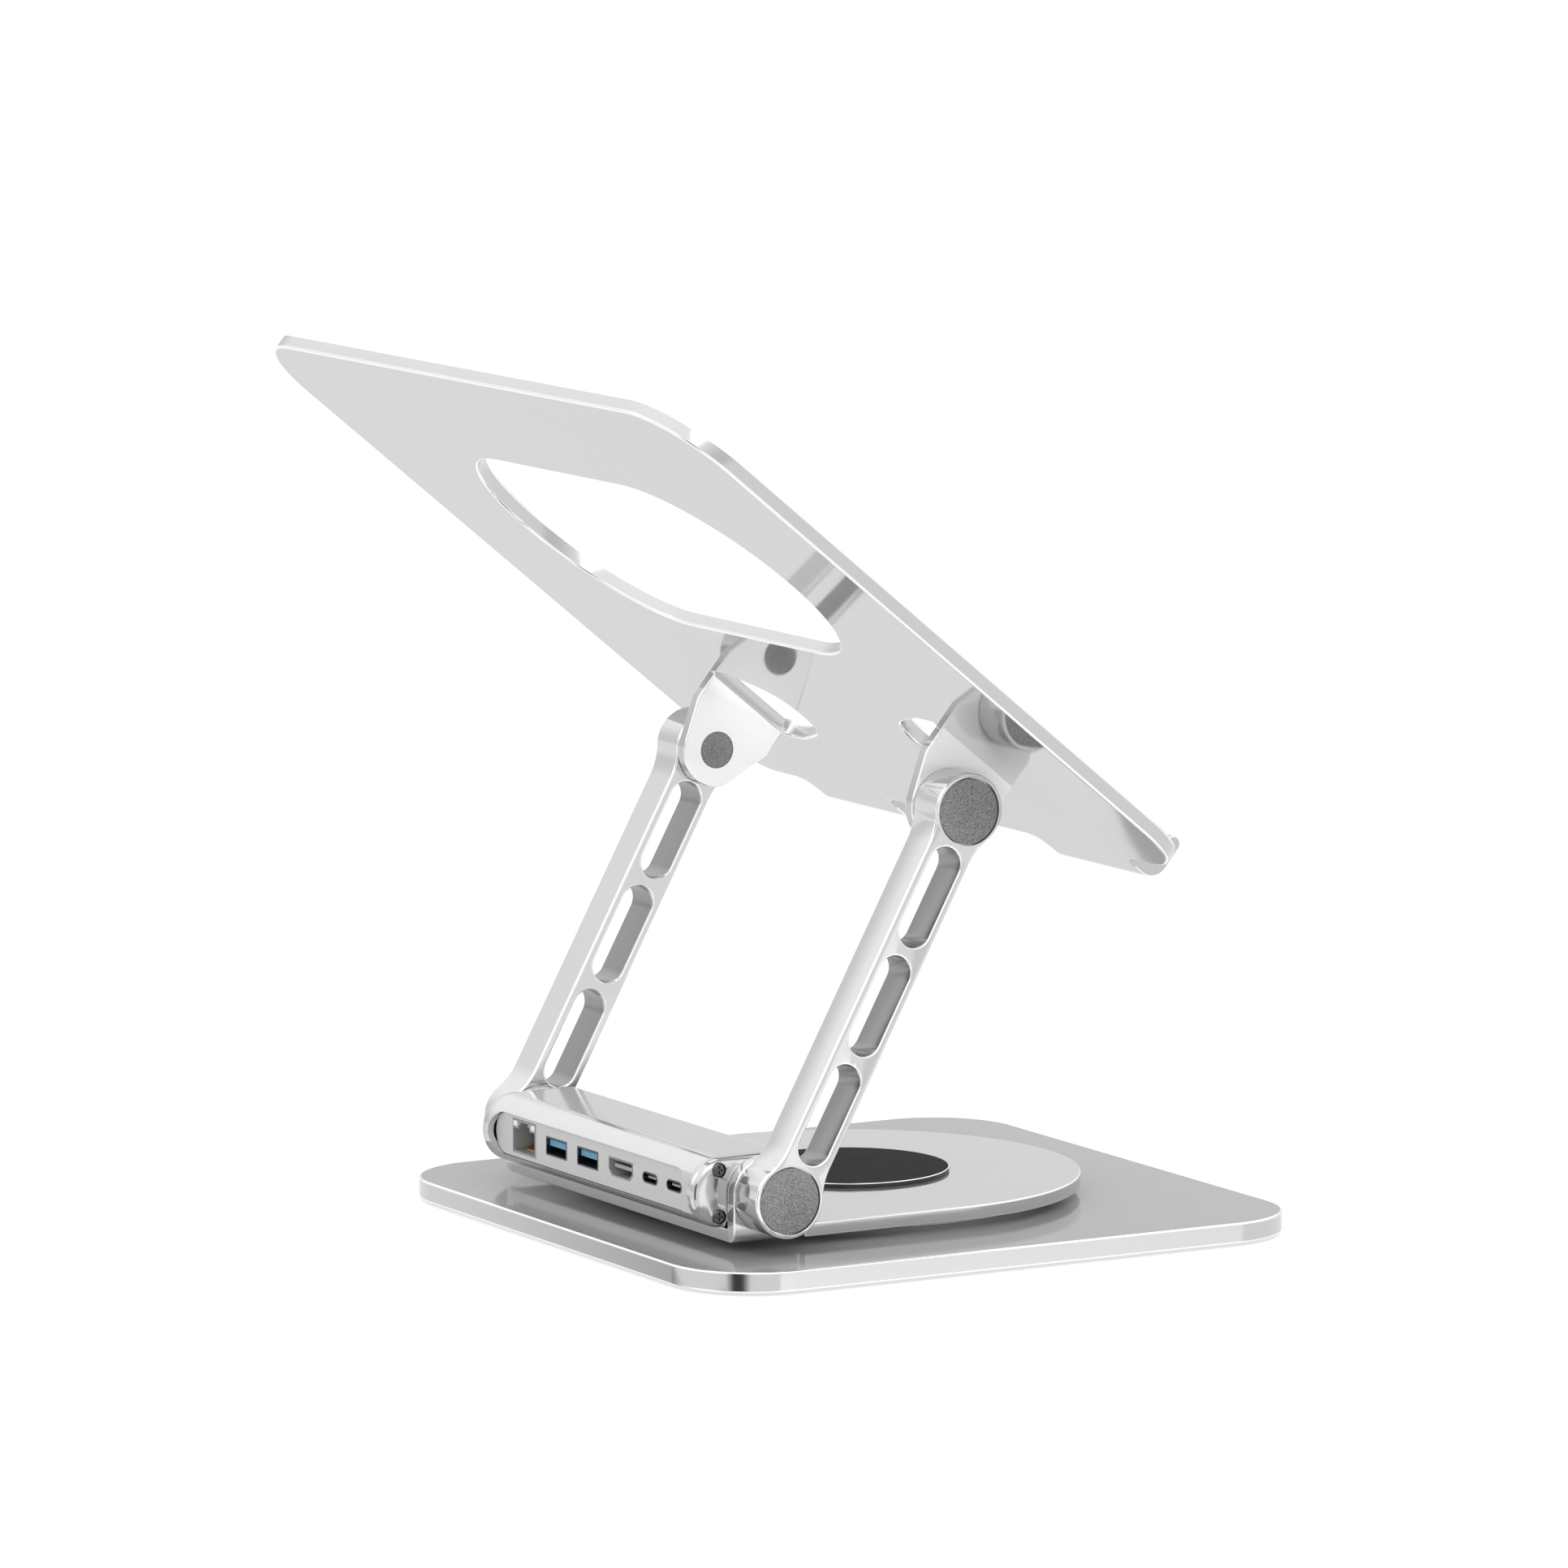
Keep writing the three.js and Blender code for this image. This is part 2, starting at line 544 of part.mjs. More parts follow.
function makeHub() {
  piece("table", "hub_shell", hubShell(), aluminium);
  const cap = toGeometry(hubEndCap());
  piece("table", "hub_end_cap_left", cap.clone(), aluminium, -1);
  piece("table", "hub_end_cap_right", cap, aluminium, 1);
  screwHeights.forEach((z, i) => {
    const screw = toGeometry(hubScrew(z));
    piece("table", `hub_screw_left_${i + 1}`, screw.clone(), steel, -1);
    piece("table", `hub_screw_right_${i + 1}`, screw, steel, 1);
  });

  let panel = solid(slabY(panelOutline(0.15), PANEL.face - PANEL.thick, PANEL.face, 0, 8));
  for (const socket of SOCKETS) {
    panel = panel.subtract(solid(slabY(mouthOutline(socket, CLEARANCE), PANEL.face - 5, PANEL.face + 1, 0, 6)));
  }
  piece("table", "socket_panel", panel, panelGrey);
  const boardTop = BOARD.z + BOARD.thick;
  const board = box(-BOARD.halfLength, BOARD.halfLength, BOARD.front, BOARD.rear, BOARD.z, boardTop);
  piece("table", "circuit_board", board, boardGreen);

  for (const socket of SOCKETS) piece("table", socket.name, socketShell(socket), steel);
  const byName = Object.fromEntries(SOCKETS.map((socket) => [socket.name, socket]));
  for (const i of [1, 2]) {
    const data = byName[`data_socket_${i}`];
    piece("table", `data_tongue_${i}`, tongue(data.x, 5.6, SOCKET_MID + 1.0, 1.9, 0.8), tongueBlue);
    const power = byName[`power_socket_${i}`];
    piece("table", `power_tongue_${i}`, tongue(power.x, 3.3, SOCKET_MID, 0.7, 1.2), blackNylon);
  }
  piece("table", "video_tongue", tongue(byName.video_socket.x, 5.6, SOCKET_MID + 0.4, 1.1, 1), blackNylon);
  piece("table", "network_contacts", contactBlock(byName.network_socket), gold);
}

// ---------- arms and hinges ----------

// Outline of an arm in (Y, Z) along +Y from its lower pivot, before it leans.
function armOutline() {
  const { length, bossRadius, halfWidth, flare } = ARM;
  const reach = Math.sqrt((bossRadius + flare) ** 2 - (halfWidth + flare) ** 2);
  const angle = Math.atan2(halfWidth + flare, reach);
  const shape = new THREE.Shape();
  shape.absarc(0, 0, bossRadius, angle, 2 * Math.PI - angle, false);
  shape.absarc(reach, -halfWidth - flare, flare, Math.PI - angle, Math.PI / 2, true);
  shape.absarc(length - reach, -halfWidth - flare, flare, Math.PI / 2, angle, true);
  shape.absarc(length, 0, bossRadius, Math.PI + angle, 3 * Math.PI - angle, false);
  shape.absarc(length - reach, halfWidth + flare, flare, -angle, -Math.PI / 2, true);
  shape.absarc(reach, halfWidth + flare, flare, -Math.PI / 2, angle - Math.PI, true);
  for (let i = 0; i < ARM.slots; i++) {
    const start = ARM.slotStart + i * ARM.slotPitch;
    const r = ARM.slotHalfWidth;
    const slot = new THREE.Path();
    slot.absarc(start + r, 0, r, Math.PI / 2, 1.5 * Math.PI, false);
    slot.absarc(start + ARM.slotLength - r, 0, r, -Math.PI / 2, Math.PI / 2, false);
    shape.holes.push(slot);
  }
  return shape;
}

function arm() {
  let body = solid(slabX(armOutline(), ARM_INNER, ARM_OUTER, ARM.edge, 6));
  for (const along of [0, ARM.length]) {
    const bore = aboutX(disc(HINGE.pinRadius + RUNNING_FIT, ARM_INNER - 1, ARM_OUTER + 1, 24), along, 0);
    const nutRoom = aboutX(disc(HINGE.nutBore, NUT_SEAT, ARM_OUTER + 1, 24), along, 0);
    const capRoom = aboutX(disc(HINGE.capRadius + CLEARANCE, CAP_SEAT, ARM_OUTER + 1, 32), along, 0);
    body = body.subtract(solid(bore)).subtract(solid(nutRoom)).subtract(solid(capRoom));
  }
  return body;
}

function hingeCap() {
  const from = CAP_SEAT + CLEARANCE;
  const to = from + HINGE.capThick;
  const r = HINGE.capRadius;
  return turned([[0, from], [r, from], [r, to - 0.25], [r - 0.25, to], [0, to]], 32);
}

const PIN_END = NUT_SEAT + HINGE.nutThick + 0.6;

function lowerPin() {
  const from = EAR_INNER - HINGE.headThick - CLEARANCE;
  return turned([
    [0, from],
    [HINGE.headRadius, from],
    [HINGE.headRadius, EAR_INNER - CLEARANCE],
    [HINGE.pinRadius, EAR_INNER - CLEARANCE],
    [HINGE.pinRadius, PIN_END],
    [0, PIN_END],
  ], 24);
}

function upperPin() {
  const seat = EAR_INNER + TRAY_HEAD.recess - CLEARANCE;
  return turned([
    [0, seat - TRAY_HEAD.thick],
    [TRAY_HEAD.radius, seat - TRAY_HEAD.thick],
    [TRAY_HEAD.radius, seat],
    [HINGE.pinRadius, seat],
    [HINGE.pinRadius, PIN_END],
    [0, PIN_END],
  ], 24);
}

function hingeWasher() {
  const from = EAR_OUTER + CLEARANCE;
  return ring(HINGE.pinRadius + RUNNING_FIT, HINGE.washerRadius, from, from + HINGE.washer, 28);
}

const hingeNut = () =>
  hexNut(HINGE.nutRadius, HINGE.pinRadius + RUNNING_FIT, HINGE.nutThick).translate(0, 0, NUT_SEAT + CLEARANCE);

function makeArms() {
  const armGeometry = toGeometry(arm());
  for (const [label, side] of [["left", -1], ["right", 1]]) {
    const limb = armGeometry.clone();
    const turn = Math.PI - lean;
    limb.rotateX(turn).translate(0, LOWER_PIVOT.y, LOWER_PIVOT.z);
    piece("arms", `arm_${label}`, limb, aluminium, side);
    for (const [level, pivot] of [["lower", LOWER_PIVOT], ["upper", UPPER_PIVOT]]) {
      const at = (geometry) => aboutX(geometry, pivot.y, pivot.z);
      piece("arms", `${level}_cap_${label}`, at(hingeCap()), capPlastic, side);
      piece("arms", `${level}_friction_washer_${label}`, at(hingeWasher()), blackNylon, side);
    }
    const low = (geometry) => aboutX(geometry, LOWER_PIVOT.y, LOWER_PIVOT.z);
    piece("table", `lower_hinge_pin_${label}`, low(lowerPin()), steel, side);
    piece("table", `lower_hinge_nut_${label}`, low(hingeNut()), steel, side);
  }
}

// ---------- tray, drawn flat with the upper pivot at its origin ----------

function trayOutline() {
  const { halfWidth, rear, front, rearCorner, frontCorner } = TRAY;
  const { centre, halfWidth: reach, root } = TONGUE;
  const tip = TONGUE.tip + TONGUE.bend - TONGUE.lap;
  const shape = new THREE.Shape();
  shape.absarc(halfWidth - rearCorner, rear - rearCorner, rearCorner, 0, Math.PI / 2, false);
  shape.absarc(-halfWidth + rearCorner, rear - rearCorner, rearCorner, Math.PI / 2, Math.PI, false);
  shape.absarc(-halfWidth + frontCorner, front + frontCorner, frontCorner, Math.PI, 1.5 * Math.PI, false);
  for (const middle of [-centre, centre]) {
    shape.absarc(middle - reach - root, front - root, root, Math.PI / 2, 0, true);
    shape.lineTo(middle - reach, tip);
    shape.lineTo(middle + reach, tip);
    shape.absarc(middle + reach + root, front - root, root, Math.PI, Math.PI / 2, true);
  }
  shape.absarc(halfWidth - frontCorner, front + frontCorner, frontCorner, 1.5 * Math.PI, 2 * Math.PI, false);

  const window = new THREE.Path();
  window.absarc(WINDOW.halfSpan, WINDOW.s, WINDOW.radius, -Math.PI / 2, Math.PI / 2, false);
  window.absarc(-WINDOW.halfSpan, WINDOW.s, WINDOW.radius, Math.PI / 2, 1.5 * Math.PI, false);
  shape.holes.push(window);
  for (const side of [-1, 1]) shape.holes.push(tabOpening(side));
  return shape;
}

// The opening that the folded-down tab leaves, on the inner side of its fold.
function tabOpening(side) {
  const { slotCentre, slotRadius, slotHalfWidth, slotFlare } = TAB;
  const points = [];
  points.push([EAR_INNER, slotHalfWidth], [slotFlare, slotHalfWidth]);
  const steps = 16;
  for (let i = 0; i <= steps; i++) {
    const angle = Math.PI / 2 - 0.28 + ((Math.PI + 0.56) * i) / steps;
    points.push([slotCentre + slotRadius * Math.cos(angle), slotRadius * Math.sin(angle)]);
  }
  points.push([slotFlare, -slotHalfWidth], [EAR_INNER, -slotHalfWidth]);
  const path = new THREE.Path();
  path.setFromPoints(points.map(([x, s]) => new THREE.Vector2(side * x, s)));
  return path;
}

// The folded tab that holds the upper hinge, in (Y, Z) about the pivot.
function tabOutline() {
  const { radius, rootHalfWidth: w, rootHeight: h } = TAB;
  const tangent = Math.atan2(h, w) - Math.acos(radius / Math.hypot(w, h));
  const shape = new THREE.Shape();
  shape.moveTo(w, TRAY.under + TRAY.thick);
  shape.lineTo(-w, TRAY.under + TRAY.thick);
  shape.lineTo(-w, h);
  shape.absarc(0, 0, radius, Math.PI - tangent, 2 * Math.PI + tangent, false);
  shape.lineTo(w, h);
  return shape;
}

// The lip in (Y, Z): the tongue's end bent up to a rounded tip.
function lipProfile() {
  const { tip, bend, inner, lip } = TONGUE;
  const under = TRAY.under;
  const top = under + TRAY.thick;
  const back = tip + TRAY.thick;
  const round = TRAY.thick / 2;
  const start = tip + bend + TONGUE.run;
  const shape = new THREE.Shape();
  shape.moveTo(start, top);
  shape.lineTo(start, under);
  shape.absarc(tip + bend, under + bend, bend, -Math.PI / 2, -Math.PI, true);
  shape.absarc(tip + round, lip - round, round, Math.PI, 0, true);
  shape.absarc(back + inner, top + inner, inner, Math.PI, 1.5 * Math.PI, false);
  return shape;
}

function trayPlate() {
  let plate = solid(slab(trayOutline(), TRAY.thick, TRAY.edge, 8).translate(0, 0, TRAY.under));
  for (const middle of [-TONGUE.centre, TONGUE.centre]) {
    const from = middle - TONGUE.halfWidth;
    plate = plate.add(solid(slabX(lipProfile(), from, middle + TONGUE.halfWidth, TRAY.edge, 7)));
  }
  for (const side of [-1, 1]) {
    const from = side > 0 ? EAR_INNER : -EAR_OUTER;
    let tab = solid(slabX(tabOutline(), from, from + EAR.thick, 0, 14));
    const tunnel = (radius, depth) => {
      const start = side > 0 ? EAR_INNER - 1 : -EAR_INNER - depth;
      return solid(aboutX(disc(radius, start, start + depth + 1, 28), 0, 0));
    };
    tab = tab.subtract(tunnel(HINGE.pinRadius + RUNNING_FIT, EAR.thick + 1));
    tab = tab.subtract(tunnel(TRAY_HEAD.radius + CLEARANCE, TRAY_HEAD.recess));
    plate = plate.add(tab);
    // The outside of the fold faces the middle of the tray.
    const sliver = slab(cornerSliver(TAB.bend), 4 * TAB.rootHalfWidth).rotateX(Math.PI / 2);
    const cutter = sliver.rotateY(Math.PI).translate(EAR_INNER, 2 * TAB.rootHalfWidth, TRAY.under + TRAY.thick);
    if (side < 0) cutter.rotateZ(Math.PI);
    plate = plate.subtract(solid(cutter).intersect(solid(box(
      Math.min(side * (EAR_INNER - 0.4), side * (EAR_INNER + 30)),
      Math.max(side * (EAR_INNER - 0.4), side * (EAR_INNER + 30)),
      -TAB.rootHalfWidth - 0.3, TAB.rootHalfWidth + 0.3,
      0, 60,
    ))));
  }
  return plate;
}

function makeTray() {
  piece("tray", "tray_plate", trayPlate(), aluminium);
  const top = TRAY.under + TRAY.thick + CLEARANCE;
  for (const [label, side] of [["left", -1], ["right", 1]]) {
    piece("tray", `upper_hinge_pin_${label}`, aboutX(upperPin(), 0, 0), steel, side);
    piece("tray", `upper_hinge_nut_${label}`, aboutX(hingeNut(), 0, 0), steel, side);
    const capStart = EAR_INNER + CLEARANCE;
    const cap = aboutX(disc(TRAY_HEAD.radius, capStart, capStart + TRAY_HEAD.cap, 28), 0, 0);
    piece("tray", `tab_cap_${label}`, cap, capPlastic, side);

    const w = TRAY_PAD.halfWidth;
    const strip = stadium(TRAY_PAD.x, TRAY_PAD.from, TRAY_PAD.to, w);
    const pad = slab(strip, TRAY_PAD.thick, 0.3, 5).translate(0, 0, top);
    piece("tray", `tray_pad_${label}`, pad, silicone, side);

    const back = TONGUE.tip + TRAY.thick + CLEARANCE;
    const lipPad = roundedRect(back, back + LIP_PAD.thick, LIP_PAD.from, LIP_PAD.to, 0.5);
    const from = TONGUE.centre - LIP_PAD.halfWidth;
    piece("tray", `lip_pad_${label}`, slabX(lipPad, from, from + 2 * LIP_PAD.halfWidth, 0, 4), silicone, side);
  }
}

// ---------- assembly ----------

makeBase();
makeTurntable();
makeHub();
makeArms();
makeTray();

const tray = new THREE.Group();
tray.position.set(0, UPPER_PIVOT.y, UPPER_PIVOT.z);
tray.rotation.x = THREE.MathUtils.degToRad(TRAY.tilt);
tray.add(...parts.tray);

const stand = new THREE.Group();
stand.position.z = FOOT.proud;
stand.add(...parts.base, ...parts.table, ...parts.arms, tray);

const laptopStand = new THREE.Group();
laptopStand.add(stand);

export default laptopStand;
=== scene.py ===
"""Looks of a laptop stand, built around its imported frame.

Lengths in the classes are millimetres and are turned into metres where a mesh is made.
+X is the right of the user at the laptop, -Y faces that user, +Z is up.
"""

import json
import logging
import math
from collections.abc import Callable, Sequence
from dataclasses import dataclass
from enum import Enum
from typing import Any

import bpy
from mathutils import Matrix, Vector

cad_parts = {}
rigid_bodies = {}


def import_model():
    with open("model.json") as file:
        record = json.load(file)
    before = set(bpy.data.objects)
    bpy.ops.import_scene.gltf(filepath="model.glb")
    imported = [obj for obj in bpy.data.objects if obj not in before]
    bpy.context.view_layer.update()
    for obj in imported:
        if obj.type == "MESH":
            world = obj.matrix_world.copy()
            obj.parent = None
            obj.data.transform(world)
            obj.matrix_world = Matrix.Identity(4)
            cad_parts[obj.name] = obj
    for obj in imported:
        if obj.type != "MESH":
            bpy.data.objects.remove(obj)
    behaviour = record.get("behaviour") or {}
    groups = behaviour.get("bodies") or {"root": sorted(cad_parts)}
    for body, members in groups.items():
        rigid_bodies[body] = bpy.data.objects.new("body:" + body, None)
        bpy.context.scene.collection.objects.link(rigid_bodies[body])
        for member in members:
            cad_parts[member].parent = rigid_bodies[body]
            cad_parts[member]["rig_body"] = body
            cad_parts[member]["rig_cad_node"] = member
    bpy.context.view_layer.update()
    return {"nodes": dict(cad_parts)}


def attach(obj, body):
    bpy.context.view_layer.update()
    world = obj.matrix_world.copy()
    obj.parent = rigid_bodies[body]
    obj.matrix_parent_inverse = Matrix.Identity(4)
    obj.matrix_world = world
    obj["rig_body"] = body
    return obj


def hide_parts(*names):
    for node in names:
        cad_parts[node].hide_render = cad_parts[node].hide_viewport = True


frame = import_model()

Solid = bpy.types.Object
Material = bpy.types.Material

LOG = logging.getLogger("laptop_stand")
MM = 0.001
SIDES = ("left", "right")
# How far the feet hold the base plate off the desk.
RESTING_GAP = 0.8
# How far a cutter reaches past the solid it cuts.
PAST = 1.0
# Faces that differ by less than this are one flat.
FLAT_ANGLE = math.radians(0.3)
# The brightest that a sky or card can be.
BRIGHTEST = 2.0


class Body(Enum):
    """The rigid bodies that pieces ride on."""

    BASE = "base"
    TURNTABLE = "turntable"
    ARMS = "arms"
    TRAY = "tray"


class Axis(Enum):
    """The direction a rod runs in, as the turn that brings it there from Z."""

    X = (0.0, math.pi / 2, 0.0)
    Y = (math.pi / 2, 0.0, 0.0)
    Z = (0.0, 0.0, 0.0)


class Join(Enum):
    """What one solid does to another."""

    ADD = "UNION"
    CUT = "DIFFERENCE"


@dataclass(frozen=True)
class Hinges:
    """The two hinge lines of the stand, in the YZ plane.

    The lower one is in the turntable's ears and the upper one in the tray's tabs.
    """

    lower_y: float = 69.4
    lower_z: float = 23.4 + RESTING_GAP
    arm_length: float = 128.7
    lean: float = 61.3
    tray_tilt: float = 39.2

    @property
    def upper_y(self) -> float:
        """Return the upper hinge line's Y."""
        return self.lower_y - self.arm_length * math.cos(math.radians(self.lean))

    @property
    def upper_z(self) -> float:
        """Return the upper hinge line's Z."""
        return self.lower_z + self.arm_length * math.sin(math.radians(self.lean))


HINGES = Hinges()
# The faces of the right ear and arm, on X, and the bore of every hinge pin.
EAR_INNER = 68.0
EAR_OUTER = 72.2
ARM_INNER = 72.9
ARM_OUTER = 86.4
PIN_BORE = 5.0


class Bench:
    """Hand tools: primitives, edit-mode steps and applied modifiers."""

    @staticmethod
    def only(*objects: Solid) -> Solid:
        """Select these objects alone.

        Args:
            objects: The objects, the first of which becomes active.

        Returns:
            The active object.
        """
        if bpy.context.mode != "OBJECT":
            bpy.ops.object.mode_set(mode="OBJECT")
        bpy.ops.object.select_all(action="DESELECT")
        for item in objects:
            item.select_set(True)
        bpy.context.view_layer.objects.active = objects[0]
        return objects[0]

    @staticmethod
    def settle(obj: Solid) -> Solid:
        """Put the object's place into its mesh and return it."""
        Bench.only(obj)
        bpy.ops.object.transform_apply(location=True, rotation=True, scale=True)
        return obj

    @staticmethod
    def whole(obj: Solid) -> None:
        """Enter edit mode with all of the piece selected."""
        Bench.only(obj)
        bpy.ops.object.mode_set(mode="EDIT")
        bpy.ops.mesh.select_all(action="SELECT")

    @staticmethod
    def face_out() -> None:
        """Turn the selected faces outwards and leave edit mode."""
        bpy.ops.mesh.normals_make_consistent(inside=False)
        bpy.ops.object.mode_set(mode="OBJECT")

    @staticmethod
    def modify(obj: Solid, kind: str, **settings: Any) -> Solid:
        """Apply one modifier to the piece and return it.

        Args:
            obj: The piece.
            kind: The modifier's type.
            settings: Its settings.

        Returns:
            The piece.
        """
        Bench.only(obj)
        step = obj.modifiers.new("step", kind)
        for key, value in settings.items():
            setattr(step, key, value)
        bpy.ops.object.modifier_apply(modifier=step.name)
        return obj

    @staticmethod
    def block(
        low: Sequence[float], high: Sequence[float], name: str = "cutter"
    ) -> Solid:
        """Add a box between two corners.

        Args:
            low: Lowest corner.
            high: Highest corner.
            name: The piece's name.

        Returns:
            The new box.
        """
        bpy.ops.object.select_all(action="DESELECT")
        centre = [(a + b) / 2 * MM for a, b in zip(low, high)]
        bpy.ops.mesh.primitive_cube_add(size=1, location=centre)
        obj = bpy.context.object
        obj.scale = [(b - a) * MM for a, b in zip(low, high)]
        obj.name = name
        return Bench.settle(obj)

    @staticmethod
    def rod(
        radius: float,
        start: float,
        end: float,
        at: tuple[float, float],
        axis: Axis = Axis.X,
        sides: int = 96,
        name: str = "cutter",
    ) -> Solid:
        """Add a round bar.

        Args:
            radius: Its radius.
            start: Where it starts along its axis.
            end: Where it ends along its axis.
            at: The other two coordinates, in X, Y, Z order.
            axis: The direction it runs in.
            sides: How many flats the round has.
            name: The piece's name.

        Returns:
            The new bar.
        """
        middle = (start + end) / 2
        spots = {
            Axis.X: (middle, *at),
            Axis.Y: (at[0], middle, at[1]),
            Axis.Z: (*at, middle),
        }
        bpy.ops.object.select_all(action="DESELECT")
        bpy.ops.mesh.primitive_cylinder_add(
            vertices=sides,
            radius=radius * MM,
            depth=(end - start) * MM,
            location=[value * MM for value in spots[axis]],
            rotation=axis.value,
        )
        obj = bpy.context.object
        obj.name = name
        return Bench.settle(obj)

    @staticmethod
    def combine(obj: Solid, other: Solid, how: Join) -> Solid:
        """Add another solid to this one, or cut it away, and use it up.

        Args:
            obj: The solid that stays.
            other: The solid that is used up.
            how: Whether it is added or cut.

        Returns:
            The solid that stays.
        """
        Bench.modify(obj, "BOOLEAN", operation=how.value, solver="EXACT", object=other)
        bpy.data.objects.remove(other, do_unlink=True)
        return obj

    @staticmethod
    def cut(obj: Solid, *others: Solid) -> Solid:
        """Cut solids out of this one and return it."""
        for other in others:
            Bench.combine(obj, other, Join.CUT)
        return obj

    @staticmethod
    def add(obj: Solid, *others: Solid) -> Solid:
        """Join solids to this one and return it."""
        for other in others:
            Bench.combine(obj, other, Join.ADD)
        return obj

    @staticmethod
    def hull(name: str, *objects: Solid) -> Solid:
        """Wrap several solids in one convex skin.

        Args:
            name: The new piece's name.
            objects: The solids, which are used up.

        Returns:
            The wrapped solid.
        """
        obj = Bench.only(*objects)
        bpy.ops.object.join()
        Bench.whole(obj)
        bpy.ops.mesh.convex_hull(delete_unused=True, use_existing_faces=False)
        bpy.ops.mesh.dissolve_limited(angle_limit=FLAT_ANGLE)
        Bench.face_out()
        obj.name = name
        return obj

    @staticmethod
    def pick(obj: Solid, wanted: Callable[[Vector, Vector], bool]) -> int:
        """Select edges by the places of their ends, and enter edit mode.

        Args:
            obj: The piece.
            wanted: Tells from an edge's two ends, in millimetres, if it is taken.

        Returns:
            How many edges were taken.
        """
        Bench.only(obj)
        bpy.ops.object.mode_set(mode="EDIT")
        bpy.ops.mesh.select_mode(type="EDGE")
        bpy.ops.mesh.select_all(action="DESELECT")
        bpy.ops.object.mode_set(mode="OBJECT")
        mesh = obj.data
        taken = 0
        for edge in mesh.edges:
            one, two = (mesh.vertices[i].co / MM for i in edge.vertices)
            edge.select = wanted(one, two)
            taken += edge.select
        bpy.ops.object.mode_set(mode="EDIT")
        return taken

    @staticmethod
    def round_edges(
        obj: Solid,
        wanted: Callable[[Vector, Vector], bool],
        radius: float,
        segments: int,
    ) -> Solid:
        """Round the chosen edges.

        Args:
            obj: The piece.
            wanted: Tells from an edge's two ends if it is taken.
            radius: The round's radius.
            segments: How many flats the round has.

        Returns:
            The piece.
        """
        if Bench.pick(obj, wanted):
            bpy.ops.mesh.bevel(
                offset=radius * MM,
                segments=segments,
                profile=0.5,
                affect="EDGES",
                clamp_overlap=False,
            )
        bpy.ops.object.mode_set(mode="OBJECT")
        return obj

    @staticmethod
    def clean(obj: Solid, merge: float = 0.002) -> Solid:
        """Merge doubles and flats and turn the faces outwards.

        Args:
            obj: The piece.
            merge: Corners closer than this are merged.

        Returns:
            The piece.
        """
        Bench.whole(obj)
        bpy.ops.mesh.remove_doubles(threshold=merge * MM)
        bpy.ops.mesh.dissolve_limited(angle_limit=FLAT_ANGLE, delimit={"MATERIAL"})
        Bench.face_out()
        return obj

    @staticmethod
    def soften(
        obj: Solid,
        width: float,
        segments: int = 3,
        angle: float = 40.0,
        rim: int = -1,
        clamp: bool = True,
    ) -> Solid:
        """Break every sharp edge.

        Args:
            obj: The piece.
            width: How far the break reaches from the edge.
            segments: How many flats it has.
            angle: Edges sharper than this, in degrees, are broken.
            rim: The material slot of the new faces, or -1 for their neighbours'.
            clamp: Whether the width shrinks where edges are short.

        Returns:
            The piece.
        """
        return Bench.modify(
            obj,
            "BEVEL",
            width=width * MM,
            segments=segments,
            limit_method="ANGLE",
            angle_limit=math.radians(angle),
            use_clamp_overlap=clamp,
            material=rim,
        )

    @staticmethod
    def shade(obj: Solid, angle: float = 32.0) -> Solid:
        """Shade rounds smooth and keep flats flat.

        Args:
            obj: The piece.
            angle: Edges sharper than this, in degrees, stay sharp.

        Returns:
            The piece.
        """
        Bench.only(obj)
        bpy.ops.object.shade_smooth_by_angle(angle=math.radians(angle))
        return Bench.modify(obj, "WEIGHTED_NORMAL", keep_sharp=True)

    @staticmethod
    def copy(obj: Solid, name: str) -> Solid:
        """Return a copy of the piece with a mesh of its own."""
        twin = obj.copy()
        twin.data = obj.data.copy()
        twin.name = name
        bpy.context.scene.collection.objects.link(twin)
        return twin

    @staticmethod
    def mirror(obj: Solid, name: str) -> Solid:
        """Copy the piece to the other side of the stand.

        Args:
            obj: The piece, which stays.
            name: The copy's name.

        Returns:
            The copy, with its faces turned outwards.
        """
        twin = Bench.copy(obj, name)
        twin.scale.x = -1
        Bench.whole(Bench.settle(twin))
        Bench.face_out()
        return twin

    @staticmethod
    def place(obj: Solid, turn: float, y: float, z: float) -> Solid:
        """Turn a piece about the X axis, move it, and return it.

        Args:
            obj: The piece.
            turn: The turn in degrees.
            y: The move along Y.
            z: The move along Z.

        Returns:
            The piece.
        """
        obj.rotation_euler = (math.radians(turn), 0.0, 0.0)
        obj.location = (0.0, y * MM, z * MM)
        return Bench.settle(obj)

    @staticmethod
    def paint(obj: Solid, slot: int, wanted: Callable[[Vector, Vector], bool]) -> None:
        """Give the chosen faces a material slot.

        Args:
            obj: The piece.
            slot: The slot's number.
            wanted: Tells from a face's centre, in millimetres, and normal if it is taken.
        """
        for face in obj.data.polygons:
            if wanted(face.center / MM, face.normal):
                face.material_index = slot


